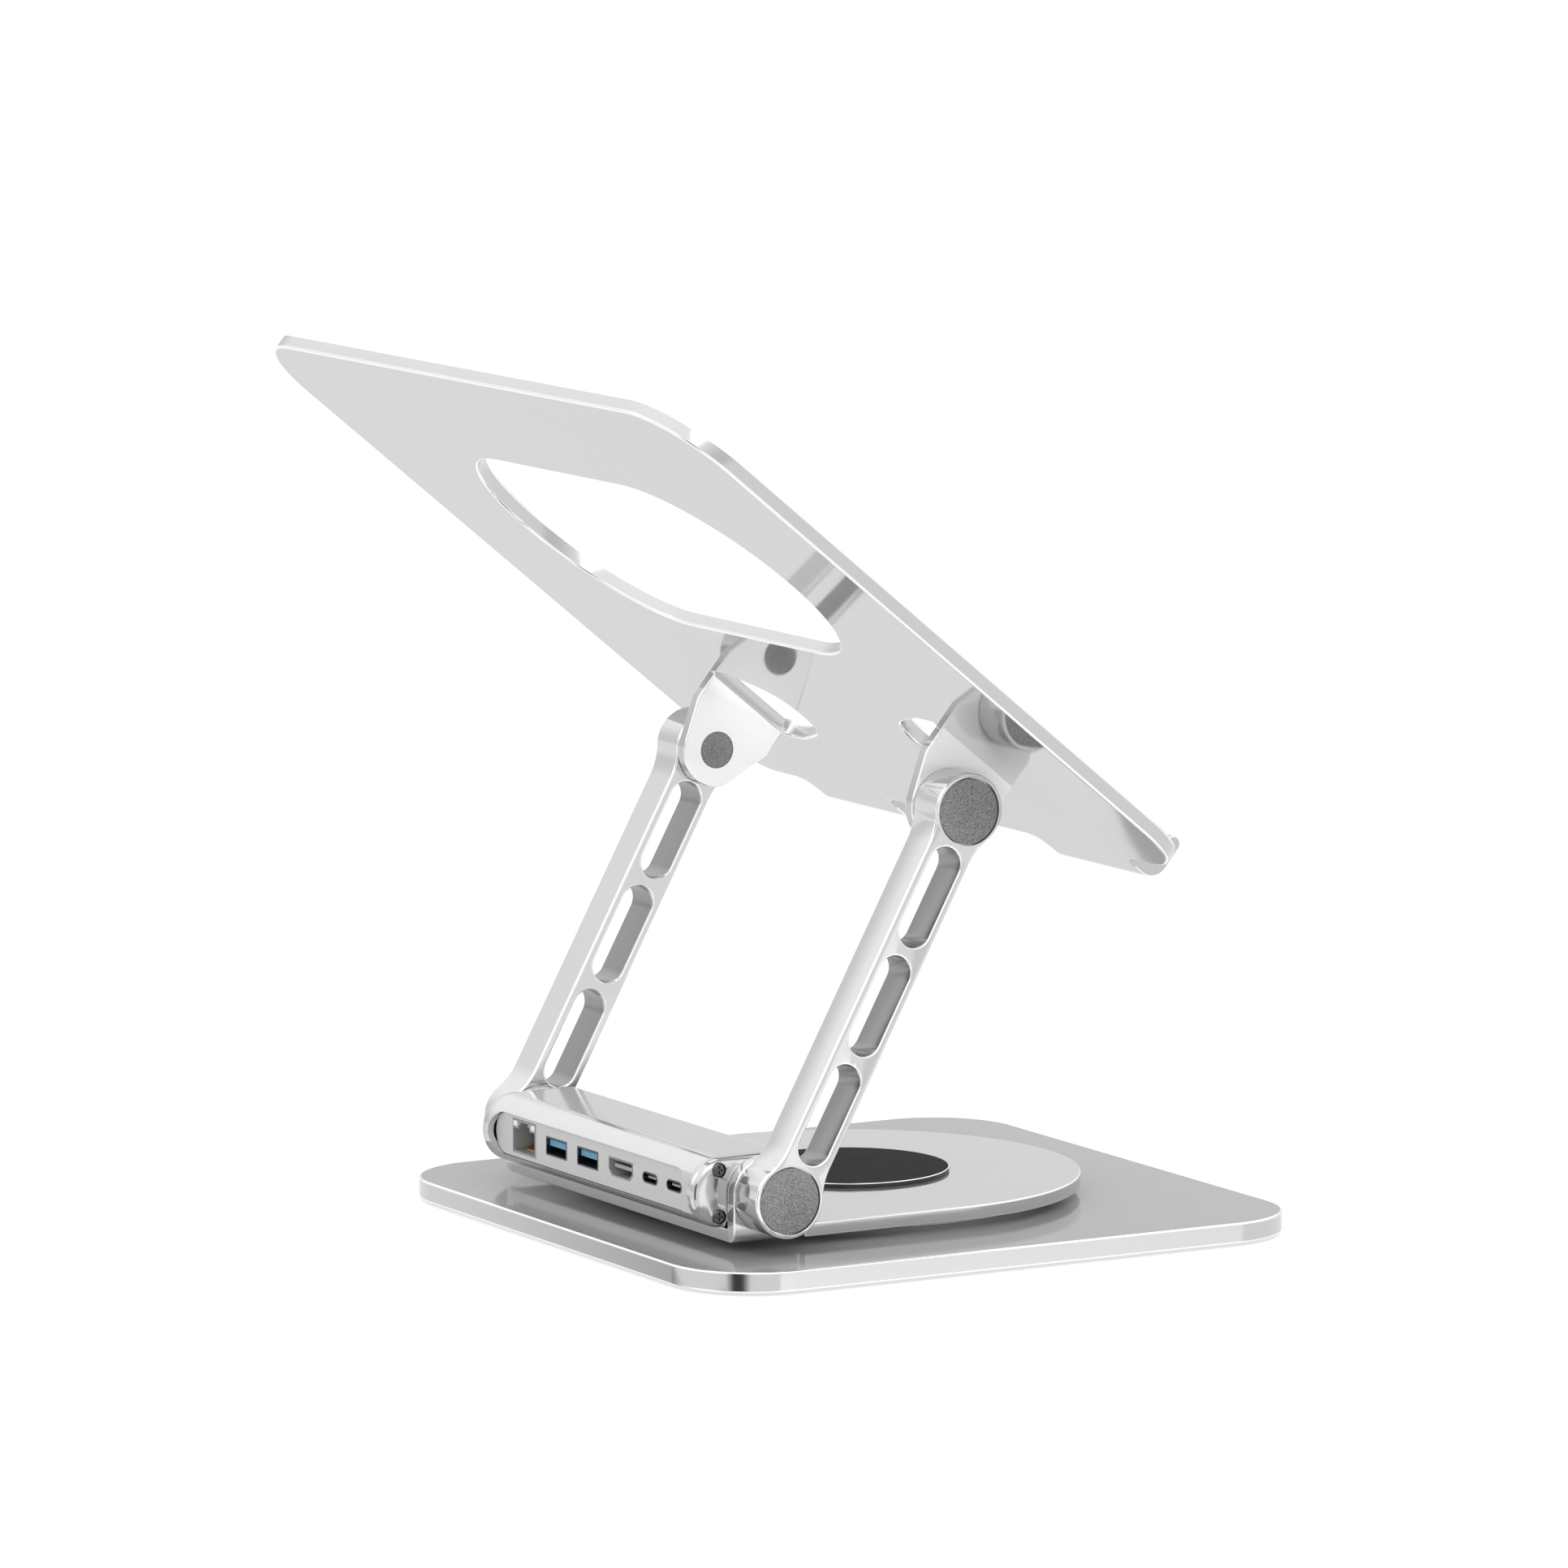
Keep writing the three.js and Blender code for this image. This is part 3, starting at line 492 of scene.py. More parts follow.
class Signal:
    """A shader socket that adds Math nodes when it is used in an expression."""

    def __init__(self, sheet: "Sheet", socket: bpy.types.NodeSocket) -> None:
        """Wrap a socket of a sheet."""
        self.sheet = sheet
        self.socket = socket

    def _math(self, operation: str, *values: "Signal | float") -> "Signal":
        """Add a Math node and return its result."""
        return self.sheet.node("ShaderNodeMath", {"operation": operation}, dict(enumerate(values)))

    def __add__(self, other: "Signal | float") -> "Signal":
        """Return the sum."""
        return self._math("ADD", self, other)

    __radd__ = __add__

    def __mul__(self, other: "Signal | float") -> "Signal":
        """Return the product."""
        return self._math("MULTIPLY", self, other)

    __rmul__ = __mul__

    def __sub__(self, other: "Signal | float") -> "Signal":
        """Return the difference."""
        return self._math("SUBTRACT", self, other)

    def __rsub__(self, other: float) -> "Signal":
        """Return the difference the other way round."""
        return self._math("SUBTRACT", other, self)

    def clamp(self) -> "Signal":
        """Return the value held between 0 and 1."""
        return self.sheet.node("ShaderNodeClamp", {}, {0: self})


class Sheet:
    """The node sheet of one material, or of the world."""

    def __init__(self, name: str, world: bool = False) -> None:
        """Start an empty material or world of that name."""
        store = bpy.data.worlds if world else bpy.data.materials
        self.owner = store.new(name)
        self.owner.use_nodes = True
        self.tree = self.owner.node_tree
        self.tree.nodes.clear()

    def node(
        self,
        kind: str,
        settings: dict[str, Any] | None = None,
        inputs: dict[int | str, Any] | None = None,
        output: int | str = 0,
    ) -> Signal:
        """Add a node.

        Args:
            kind: The node's type.
            settings: Its settings; "stops" are a colour ramp's places and colours.
            inputs: Values or signals for its sockets, by number or name.
            output: The output that is wanted.

        Returns:
            That output.
        """
        made = self.tree.nodes.new(kind)
        for key, value in (settings or {}).items():
            if key == "stops":
                self._stops(made.color_ramp, value)
            else:
                setattr(made, key, value)
        for key, value in (inputs or {}).items():
            if isinstance(value, Signal):
                self.tree.links.new(value.socket, made.inputs[key])
            else:
                made.inputs[key].default_value = value
        return Signal(self, made.outputs[output] if made.outputs else None)

    @staticmethod
    def _stops(ramp: bpy.types.ColorRamp, stops: Sequence[tuple[float, Sequence[float]]]) -> None:
        """Set a ramp's stops."""
        while len(ramp.elements) < len(stops):
            ramp.elements.new(1.0)
        for element, (place, colour) in zip(ramp.elements, stops):
            element.position = place
            element.color = colour

    def place(self) -> Signal:
        """Return the piece's own coordinates."""
        return self.node("ShaderNodeTexCoord", output="Object")

    def noise(
        self, size: float, detail: float = 2.0, stretch: Sequence[float] = (1, 1, 1)
    ) -> Signal:
        """Return cloudy noise.

        Args:
            size: The size of its blotches in millimetres.
            detail: How many finer layers it has.
            stretch: How much it is squeezed along each axis.

        Returns:
            A value about 0.5.
        """
        spot = self.node("ShaderNodeMapping", {}, {"Vector": self.place(), "Scale": list(stretch)})
        return self.node(
            "ShaderNodeTexNoise", {}, {"Vector": spot, "Scale": 1 / (size * MM), "Detail": detail}
        )

    def blend(
        self, factor: Signal | float, one: Signal | Sequence[float], two: Sequence[float]
    ) -> Signal:
        """Mix two colours.

        Args:
            factor: How much of the second is shown.
            one: The first colour.
            two: The second colour.

        Returns:
            The mixed colour.
        """
        first = one if isinstance(one, Signal) else (*one, 1.0)
        return self.node(
            "ShaderNodeMix", {"data_type": "RGBA"}, {0: factor, 6: first, 7: (*two, 1.0)}, output=2
        )

    def greys(self, value: Signal, stops: Sequence[tuple[float, float]]) -> Signal:
        """Turn a value into a brightness.

        Args:
            value: The value, from 0 to 1.
            stops: Places and how bright each is, up to BRIGHTEST.

        Returns:
            A grey that is the brightness over BRIGHTEST.
        """
        shades = [(place, (*(glow / BRIGHTEST,) * 3, 1.0)) for place, glow in stops]
        return self.node("ShaderNodeValToRGB", {"stops": shades}, {0: value})

    def bump(self, height: Signal, depth: float, strength: float = 1.0) -> Signal:
        """Turn a height into a tilted normal.

        Args:
            height: The height, from 0 to 1.
            depth: What a height of 1 stands for, in millimetres.
            strength: How much of the tilt is used.

        Returns:
            The normal.
        """
        return self.node(
            "ShaderNodeBump", {}, {"Height": height, "Distance": depth * MM, "Strength": strength}
        )

    def close(self, sockets: dict[str, Any]) -> Material:
        """Add the surface and the output, and return the material."""
        surface = self.node("ShaderNodeBsdfPrincipled", {}, sockets)
        self.node("ShaderNodeOutputMaterial", {}, {"Surface": surface})
        return self.owner


@dataclass(frozen=True)
class BlastedAluminium:
    """Bead-blasted, anodised aluminium with a fine even grain."""

    name: str = "blasted_aluminium"
    colour: tuple[float, float, float] = (0.66, 0.661, 0.664)
    shade: tuple[float, float, float] = (0.635, 0.636, 0.64)
    metallic: float = 0.86
    specular: float = 0.5
    roughness: float = 0.11
    grain: float = 0.25
    grain_depth: float = 0.0004

    def build(self) -> Material:
        """Return the material."""
        sheet = Sheet(self.name)
        cloud = sheet.noise(38.0, 3.0)
        grain = sheet.noise(self.grain, 1.0)
        fine = sheet.noise(self.grain * 3.2, 2.0)
        return sheet.close({
            "Base Color": sheet.blend(cloud * 0.7 + grain * 0.3, self.shade, self.colour),
            "Metallic": self.metallic,
            "Specular IOR Level": self.specular,
            "Roughness": (cloud - 0.5) * 0.05 + (fine - 0.5) * 0.05 + self.roughness,
            "Normal": sheet.bump(grain * 0.7 + fine * 0.3, self.grain_depth, 0.8),
        })


@dataclass(frozen=True)
class CutEdge:
    """The bright face a cutter leaves along an edge, with lines that run with the edge."""

    name: str = "cut_edge"
    colour: tuple[float, float, float] = (0.98, 0.982, 0.985)
    roughness: float = 0.11
    line: float = 0.35

    def build(self) -> Material:
        """Return the material."""
        sheet = Sheet(self.name)
        lines = sheet.noise(self.line, 2.0, (0.08, 0.08, 1.0))
        cloud = sheet.noise(24.0, 2.0)
        return sheet.close({
            "Base Color": sheet.blend(cloud, [c * 0.96 for c in self.colour], self.colour),
            "Metallic": 1.0,
            "Roughness": (lines - 0.5) * 0.08 + (cloud - 0.5) * 0.04 + self.roughness,
            "Normal": sheet.bump(lines, 0.0004, 0.6),
        })


@dataclass(frozen=True)
class Plastic:
    """Moulded plastic or rubber with a fine spark texture."""

    name: str
    colour: tuple[float, float, float]
    fleck: tuple[float, float, float]
    roughness: float = 0.6
    grain: float = 0.3
    depth: float = 0.01
    contrast: float = 1.0

    def build(self) -> Material:
        """Return the material."""
        sheet = Sheet(self.name)
        grain = sheet.noise(self.grain, 3.0)
        cloud = sheet.noise(12.0, 2.0)
        spread = ((grain - 0.5) * (2.2 * self.contrast) + (cloud - 0.5) * 0.5 + 0.5).clamp()
        return sheet.close({
            "Base Color": sheet.blend(spread, self.colour, self.fleck),
            "Roughness": (grain - 0.5) * 0.15 + self.roughness,
            "Normal": sheet.bump(grain, self.depth, 0.7),
        })


@dataclass(frozen=True)
class BlackMirror:
    """A polished black cap with faint haze."""

    name: str = "black_mirror"
    colour: tuple[float, float, float] = (0.018, 0.018, 0.02)
    haze: tuple[float, float, float] = (0.03, 0.03, 0.033)
    roughness: float = 0.07

    def build(self) -> Material:
        """Return the material."""
        sheet = Sheet(self.name)
        haze = sheet.noise(9.0, 3.0)
        fine = sheet.noise(0.8, 2.0)
        return sheet.close({
            "Base Color": sheet.blend(haze, self.colour, self.haze),
            "Roughness": (haze - 0.5) * 0.06 + (fine - 0.5) * 0.03 + self.roughness,
            "Specular IOR Level": 0.001,
            "Normal": sheet.bump(haze, 0.004, 0.3),
        })


@dataclass(frozen=True)
class PlatedSteel:
    """Plated sheet steel with a drawn grain."""

    name: str = "plated_steel"
    colour: tuple[float, float, float] = (0.58, 0.585, 0.59)
    shade: tuple[float, float, float] = (0.4, 0.4, 0.41)
    roughness: float = 0.28

    def build(self) -> Material:
        """Return the material."""
        sheet = Sheet(self.name)
        drawn = sheet.noise(0.5, 3.0, (1.0, 0.12, 1.0))
        cloud = sheet.noise(6.0, 2.0)
        return sheet.close({
            "Base Color": sheet.blend(drawn * 0.5 + cloud * 0.5, self.shade, self.colour),
            "Metallic": 1.0,
            "Roughness": (drawn - 0.5) * 0.2 + self.roughness,
            "Normal": sheet.bump(drawn, 0.003, 0.6),
        })


@dataclass(frozen=True)
class CircuitLacquer:
    """Green lacquer over copper tracks."""

    name: str = "circuit_lacquer"
    colour: tuple[float, float, float] = (0.015, 0.075, 0.035)
    track: tuple[float, float, float] = (0.03, 0.16, 0.07)

    def build(self) -> Material:
        """Return the material."""
        sheet = Sheet(self.name)
        cells = sheet.node(
            "ShaderNodeTexBrick",
            {},
            {"Vector": sheet.place(), "Scale": 220.0, "Mortar Size": 0.06},
            output="Fac",
        )
        return sheet.close({
            "Base Color": sheet.blend(cells, self.colour, self.track),
            "Roughness": cells * 0.1 + 0.35,
            "Normal": sheet.bump(cells, 0.03, 0.5),
        })


class Finishes:
    """Every material of the stand."""

    def __init__(self) -> None:
        """Make the materials."""
        self.aluminium = BlastedAluminium().build()
        # Painted shade: a darker, less metallic copy of the aluminium for the base's top, standing
        # in for how little light it catches.
        self.plate_painted_shade_top = BlastedAluminium(
            name="plate_aluminium",
            colour=(0.37, 0.371, 0.373),
            shade=(0.345, 0.346, 0.348),
            metallic=0.25,
            specular=0.15,
            roughness=0.1,
        ).build()
        # Painted shade: a darker copy of the aluminium for the tray, whose underside faces down and
        # away from the light.
        self.tray_painted_shade_skin = BlastedAluminium(
            name="tray_aluminium",
            colour=(0.54, 0.541, 0.543),
            shade=(0.52, 0.521, 0.523),
            roughness=0.06,
        ).build()
        # Painted light: a near-white, mostly non-metallic copy of the aluminium that lifts the
        # tabs' flat sides out of the shade of the tray and arms.
        self.tab_painted_light_skin = BlastedAluminium(
            name="tab_aluminium",
            colour=(0.88, 0.881, 0.883),
            shade=(0.86, 0.861, 0.863),
            metallic=0.2,
            roughness=0.12,
        ).build()
        self.edge = CutEdge().build()
        self.wall = CutEdge("cut_wall", (0.62, 0.622, 0.626), 0.12).build()
        # Painted shade: a dark copy of the cut edge for the walls inside the arms' slots.
        self.slot_wall = CutEdge("slot_wall", (0.3, 0.302, 0.306), 0.26).build()
        self.cap = Plastic(
            "grained_cap", (0.1, 0.1, 0.102), (0.26, 0.26, 0.264), 0.75, 0.42, 0.02, 1.8
        ).build()
        self.silicone = Plastic(
            "silicone", (0.045, 0.047, 0.05), (0.06, 0.062, 0.066), 0.8, 0.5
        ).build()
        self.nylon = Plastic(
            "black_nylon", (0.012, 0.012, 0.013), (0.024, 0.024, 0.026), 0.45
        ).build()
        self.acetal = Plastic("pale_acetal", (0.78, 0.78, 0.77), (0.84, 0.84, 0.83), 0.4).build()
        self.panel = Plastic(
            "panel_grey", (0.41, 0.412, 0.416), (0.45, 0.452, 0.456), 0.42, 0.4, 0.004
        ).build()
        self.socket_grey = Plastic(
            "socket_grey", (0.17, 0.172, 0.175), (0.24, 0.242, 0.245), 0.35, 0.5, 0.003
        ).build()
        self.tongue_grey = Plastic(
            "tongue_grey", (0.24, 0.24, 0.245), (0.3, 0.3, 0.305), 0.4, 0.5, 0.003
        ).build()
        self.blue = Plastic(
            "blue_tongue", (0.05, 0.2, 0.32), (0.08, 0.26, 0.4), 0.4, 0.6, 0.004
        ).build()
        self.mirror = BlackMirror().build()
        self.steel = PlatedSteel().build()
        self.dark_steel = PlatedSteel(
            "dark_steel", (0.2, 0.2, 0.205), (0.1, 0.1, 0.105), 0.35
        ).build()
        self.gold = PlatedSteel("gold_plate", (0.85, 0.6, 0.2), (0.7, 0.46, 0.12), 0.22).build()
        self.board = CircuitLacquer().build()
        self.lamp = Plastic(
            "lamp_window", (0.5, 0.62, 0.52), (0.62, 0.72, 0.62), 0.25, 0.5, 0.003
        ).build()


@dataclass
class Part:
    """What every sub-assembly shares."""

    finishes: Finishes
    body: Body

    def dress(self, obj: Solid, *materials: Material) -> Solid:
        """Give a piece its materials, in slot order, and return it."""
        obj.data.materials.clear()
        for material in materials:
            obj.data.materials.append(material)
        return obj

    def hand_over(self, obj: Solid, slot: str, *nodes: str) -> None:
        """Let a finished piece ride on its body in place of CAD nodes.

        Args:
            obj: The piece.
            slot: The record's material slot; not used.
            nodes: The nodes it stands for.
        """
        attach(obj, self.body.value)
        if nodes:
            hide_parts(*nodes)
        LOG.info("%s: %d faces", obj.name, len(obj.data.polygons))

    def keep(self, material: Material, *nodes: str) -> None:
        """Leave CAD nodes in place with a better material."""
        for node in nodes:
            self.dress(frame["nodes"][node], material)
            LOG.info("%s: kept", node)


@dataclass
class Base(Part):
    """The square plate on the desk, its feet and the swivel."""

    side: float = 210.0
    thick: float = 6.3
    corner: float = 28.0
    edge: float = 0.6
    foot_inset: float = 82.0
    foot_radius: float = 10.7
    pad_radius: float = 22.1
    pocket: float = 0.6
    nut_radius: float = 12.0
    nut_depth: float = 3.3
    bore: float = 5.2

    def plate(self) -> Solid:
        """Return the plate."""
        half = self.side / 2
        low = RESTING_GAP
        top = low + self.thick
        plate = Bench.block((-half, -half, low), (half, half, top), "base_slab")
        Bench.round_edges(plate, lambda a, b: abs(a.z - b.z) > 1, self.corner, 28)
        # The top face takes the aluminium copy with painted shade.
        self.dress(plate, self.finishes.plate_painted_shade_top, self.finishes.edge, self.finishes.wall)
        Bench.paint(plate, 2, lambda centre, normal: abs(normal.z) < 0.5)
        Bench.soften(plate, self.edge, 3, rim=1)
        for x in (-self.foot_inset, self.foot_inset):
            for y in (-self.foot_inset, self.foot_inset):
                foot = Bench.rod(
                    self.foot_radius, low - PAST, low + self.pocket, (x, y), Axis.Z, 48
                )
                Bench.cut(plate, foot)
        for radius, depth in (
            (self.pad_radius, self.pocket),
            (self.nut_radius, self.nut_depth),
            (self.bore, self.thick + PAST),
        ):
            Bench.cut(plate, Bench.rod(radius, low - PAST, low + depth, (0, 0), Axis.Z, 64))
        return Bench.shade(plate)

    def build(self) -> None:
        """Make and dress the base."""
        self.hand_over(self.plate(), "anodised_aluminium", "base_plate")
        feet = [f"corner_foot_{i}" for i in range(1, 5)]
        self.keep(self.finishes.silicone, *feet, "centre_pad")
        self.keep(self.finishes.steel, "swivel_bolt", "swivel_nut", "swivel_spring_washer")
        self.keep(self.finishes.acetal, "glide_ring")


@dataclass
class Turntable(Part):
    """The round-fronted plate with its two ears, and the cap over the swivel."""

    low: float = 9.0 + RESTING_GAP
    thick: float = 4.2
    radius: float = 72.2
    rear: float = 80.6
    edge: float = 0.45
    notch: float = 2.0
    bend: float = 3.0
    bush_radius: float = 8.1
    recess_radius: float = 14.0
    recess_depth: float = 2.1
    cap_radius: float = 31.6
    cap_low: float = 0.1
    cap_height: float = 1.3

    @property
    def top(self) -> float:
        """Return the height of the plate's upper face."""
        return self.low + self.thick

    @property
    def ear_radius(self) -> float:
        """Return the radius of an ear's round top."""
        return self.rear - HINGES.lower_y

    def plate(self) -> Solid:
        """Return the plate without its ears."""
        front = HINGES.lower_y - self.ear_radius
        plate = Bench.rod(self.radius, self.low, self.top, (0, 0), Axis.Z, 192, "turntable")
        straight = Bench.block(
            (-self.radius, 0, self.low), (self.radius, front - self.notch, self.top)
        )
        tail = Bench.block(
            (-EAR_INNER - PAST, 20, self.low), (EAR_INNER + PAST, self.rear, self.top)
        )
        Bench.clean(Bench.add(plate, straight, tail))
        self.dress(plate, self.finishes.aluminium, self.finishes.edge, self.finishes.wall)
        Bench.paint(plate, 2, lambda centre, normal: abs(normal.z) < 0.5)
        Bench.soften(plate, self.edge, 3, rim=1)
        return plate

    def ear(self) -> Solid:
        """Return the right ear, folded up from the plate."""
        front = HINGES.lower_y - self.ear_radius
        ear = Bench.block(
            (EAR_INNER, front, self.low), (EAR_OUTER, self.rear, HINGES.lower_z), "ear"
        )
        Bench.round_edges(
            ear, lambda a, b: min(a.x, b.x) > EAR_OUTER - 0.1 and max(a.z, b.z) < self.low + 0.1,
            self.bend, 8,
        )
        at = (HINGES.lower_y, HINGES.lower_z)
        Bench.clean(Bench.add(ear, Bench.rod(self.ear_radius, EAR_INNER, EAR_OUTER, at, sides=96)))
        self.dress(ear, self.finishes.aluminium, self.finishes.edge, self.finishes.wall)
        Bench.soften(ear, self.edge, 3, rim=1)
        return Bench.cut(ear, Bench.rod(PIN_BORE, EAR_INNER - PAST, EAR_OUTER + PAST, at, sides=48))

    def cap(self) -> Solid:
        """Return the black cap, with a painted highlight on its top edge."""
        low = self.top + self.cap_low
        high = low + self.cap_height
        cap = Bench.rod(self.cap_radius, low, high, (0, 0), Axis.Z, 160, "swivel_cap")
        self.dress(cap, self.finishes.mirror, self.finishes.edge, self.finishes.nylon)
        Bench.paint(cap, 2, lambda centre, normal: normal.z < 0.5)
        Bench.only(cap)
        Bench.pick(cap, lambda a, b: min(a.z, b.z) > low + 0.9 * self.cap_height)
        # The top edge's bevel takes the bright cut-edge metal as a painted highlight.
        bpy.ops.mesh.bevel(offset=0.25 * MM, segments=3, affect="EDGES", material=1)
        bpy.ops.object.mode_set(mode="OBJECT")
        return Bench.shade(cap)

    def build(self) -> None:
        """Make and dress the turntable."""
        plate = self.plate()
        ear = self.ear()
        twin = Bench.mirror(ear, "ear_twin")
        Bench.clean(Bench.add(plate, ear, twin), 0.03)
        for radius, low, sides in (
            (self.bush_radius, self.low - PAST, 48),
            (self.recess_radius, self.top - self.recess_depth, 64),
        ):
            Bench.cut(plate, Bench.rod(radius, low, self.top + PAST, (0, 0), Axis.Z, sides))
        self.hand_over(Bench.shade(plate), "anodised_aluminium", "turntable_plate")
        self.hand_over(self.cap(), "gloss_black", "centre_cap")
        self.keep(self.finishes.nylon, "swivel_bush")
        self.keep(
            self.finishes.steel,
            *(f"lower_hinge_{kind}_{side}" for kind in ("pin", "nut") for side in SIDES),
        )


@dataclass
class Hub(Part):
    """The socket bar between the ears."""

    half_length: float = 63.9
    radius: float = 10.7
    y: float = 81.5
    z: float = 24.0 + RESTING_GAP
    front: float = 58.4
    front_corner: float = 3.0
    wall: float = 2.0
    cap_thick: float = 3.8
    cap_round: float = 2.6
    panel_face: float = 89.3
    panel_far: float = 62.4
    panel_near: float = -57.6
    panel_half: float = 6.6
    screw_y: float = 83.2
    screw_rise: float = 7.1
    screw_head: float = 2.4
    screw_sink: float = 1.3
    screw_bore: float = 1.2
    pin_head: float = 7.5
    groove_radius: float = 1.5
    groove_rise: float = 3.1
    sink: float = 2.4
    lamp_x: float = 43.9
    lamp_z: float = 24.2 + RESTING_GAP
    lamp_reach: float = 5.6
    lamp_half: float = 1.3

    def bar(self, name: str, start: float, end: float, inset: float = 0.0) -> Solid:
        """Return a length of the hub's section.

        Args:
            name: The piece's name.
            start: Where it starts on X.
            end: Where it ends on X.
            inset: How far the section is drawn in.

        Returns:
            The solid bar.
        """
        radius = self.radius - inset
        front = self.front + inset
        corner = max(self.front_corner - inset, 1.0)
        rounds = [
            Bench.rod(radius, start, end, (self.y, self.z), sides=128),
            Bench.rod(corner, start, end, (front + corner, self.z + radius - corner), sides=48),
            Bench.rod(corner, start, end, (front + corner, self.z - radius + corner), sides=48),
        ]
        return Bench.hull(name, *rounds)

    def opening(self, inset: float, back: float) -> Solid:
        """Return the solid that cuts the socket opening.

        Args:
            inset: How far its outline is drawn in.
            back: Where it starts on Y.

        Returns:
            The cutter.
        """
        half = self.panel_half - inset
        rear = self.y + self.radius + 2
        corner = 3.0
        far = self.panel_far - inset - half
        near = self.panel_near + inset
        return Bench.hull(
            "opening",
            Bench.rod(half, back, rear, (far, self.z), Axis.Y, 96),
            Bench.rod(corner, back, rear, (near + corner, self.z + half - corner), Axis.Y, 48),
            Bench.rod(1.2, back, rear, (near + 1.2, self.z - half + 1.2), Axis.Y, 32),
        )

    def shell(self) -> Solid:
        """Return the shell, open at the rear for the sockets."""
        end = self.half_length
        shell = self.bar("hub_body", -end, end)
        self.dress(shell, self.finishes.aluminium, self.finishes.edge)
        proud = self.panel_face + 0.9
        low, high = self.z - self.panel_half - 1, self.z + self.panel_half + 1
        flat = Bench.block((-end - 1, proud, low - 3), (self.panel_near + 1, self.y + 20, high + 3))
        Bench.cut(shell, self.opening(0.0, self.panel_face - 4), flat)
        Bench.clean(shell)
        Bench.soften(shell, 0.32, 3, 38, rim=1)
        Bench.cut(shell, self.bar("inner", self.panel_near + 0.3, end + PAST, self.wall))
        return Bench.shade(shell)

    def end_cap(self) -> Solid:
        """Return the right end cap."""
        start = self.half_length + 0.1
        end = start + self.cap_thick
        cap = self.bar("hub_end_right", start, end)
        Bench.round_edges(
            cap, lambda a, b: min(a.x, b.x) > end - 0.01, self.cap_round, 6
        )
        self.dress(cap, self.finishes.wall, self.finishes.edge, self.finishes.dark_steel)
        at = (HINGES.lower_y, HINGES.lower_z)
        head = Bench.rod(self.pin_head, EAR_INNER - self.sink, end + PAST, at, sides=48)
        groove = Bench.hull(
            "groove",
            *(
                Bench.rod(
                    self.groove_radius, end - self.sink, end + PAST,
                    (self.screw_y - 1, self.z + rise), sides=24,
                )
                for rise in (-self.groove_rise, self.groove_rise)
            ),
        )
        Bench.cut(cap, head, groove)
        for rise in (-self.screw_rise, self.screw_rise):
            at = (self.screw_y, self.z + rise)
            seat = end - self.screw_sink
            Bench.cut(cap, Bench.rod(self.screw_head, seat, end + PAST, at, sides=40))
            Bench.cut(cap, Bench.rod(self.screw_bore, start - PAST, end + PAST, at, sides=24))
        return Bench.shade(cap)

    def panel(self) -> Solid:
        """Return the panel the sockets look through, with softened cut-outs."""
        source = frame["nodes"]["socket_panel"]
        panel = Bench.copy(source, "socket_plate")
        panel.parent = None
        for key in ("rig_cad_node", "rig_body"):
            del panel[key]
        self.dress(panel, self.finishes.panel, self.finishes.edge)
        Bench.clean(panel)
        Bench.soften(panel, 0.12, 2, 60, rim=1)
        return Bench.shade(panel)

    def lamps(self) -> Solid:
        """Return the two small lamp windows over the network socket's corners."""
        x, z, y = self.lamp_x, self.lamp_z, self.panel_face
        lamps = []
        for side in (-1, 1):
            lamp = Bench.block(
                (x + side * self.lamp_reach - self.lamp_half, y - 1.0, z + 3.0),
                (x + side * self.lamp_reach + self.lamp_half, y + 0.15, z + 4.7),
            )
            self.dress(lamp, self.finishes.lamp)
            Bench.soften(lamp, 0.15, 2)
            lamps.append(lamp)
        Bench.only(*lamps)
        bpy.ops.object.join()
        lamps[0].name = "network_lamps"
        return Bench.shade(lamps[0])

    def build(self) -> None:
        """Make and dress the hub."""
        self.hand_over(self.shell(), "anodised_aluminium", "hub_shell")
        cap = self.end_cap()
        self.hand_over(Bench.mirror(cap, "hub_end_left"), "anodised_aluminium", "hub_end_cap_left")
        self.hand_over(cap, "anodised_aluminium", "hub_end_cap_right")
        self.hand_over(self.panel(), "panel_grey", "socket_panel")
        self.hand_over(self.lamps(), "panel_grey")
        finishes = self.finishes
        self.keep(finishes.board, "circuit_board")
        self.keep(finishes.socket_grey, "network_socket", "video_socket")
        self.keep(
            finishes.dark_steel,
            *(f"{kind}_socket_{i}" for kind in ("data", "power") for i in (1, 2)),
        )
        self.keep(finishes.blue, "data_tongue_1", "data_tongue_2")
        self.keep(finishes.tongue_grey, "video_tongue", "power_tongue_1", "power_tongue_2")
        self.keep(finishes.gold, "network_contacts")
        self.keep(
            finishes.dark_steel,
            *(f"hub_screw_{side}_{i}" for side in SIDES for i in (1, 2)),
        )


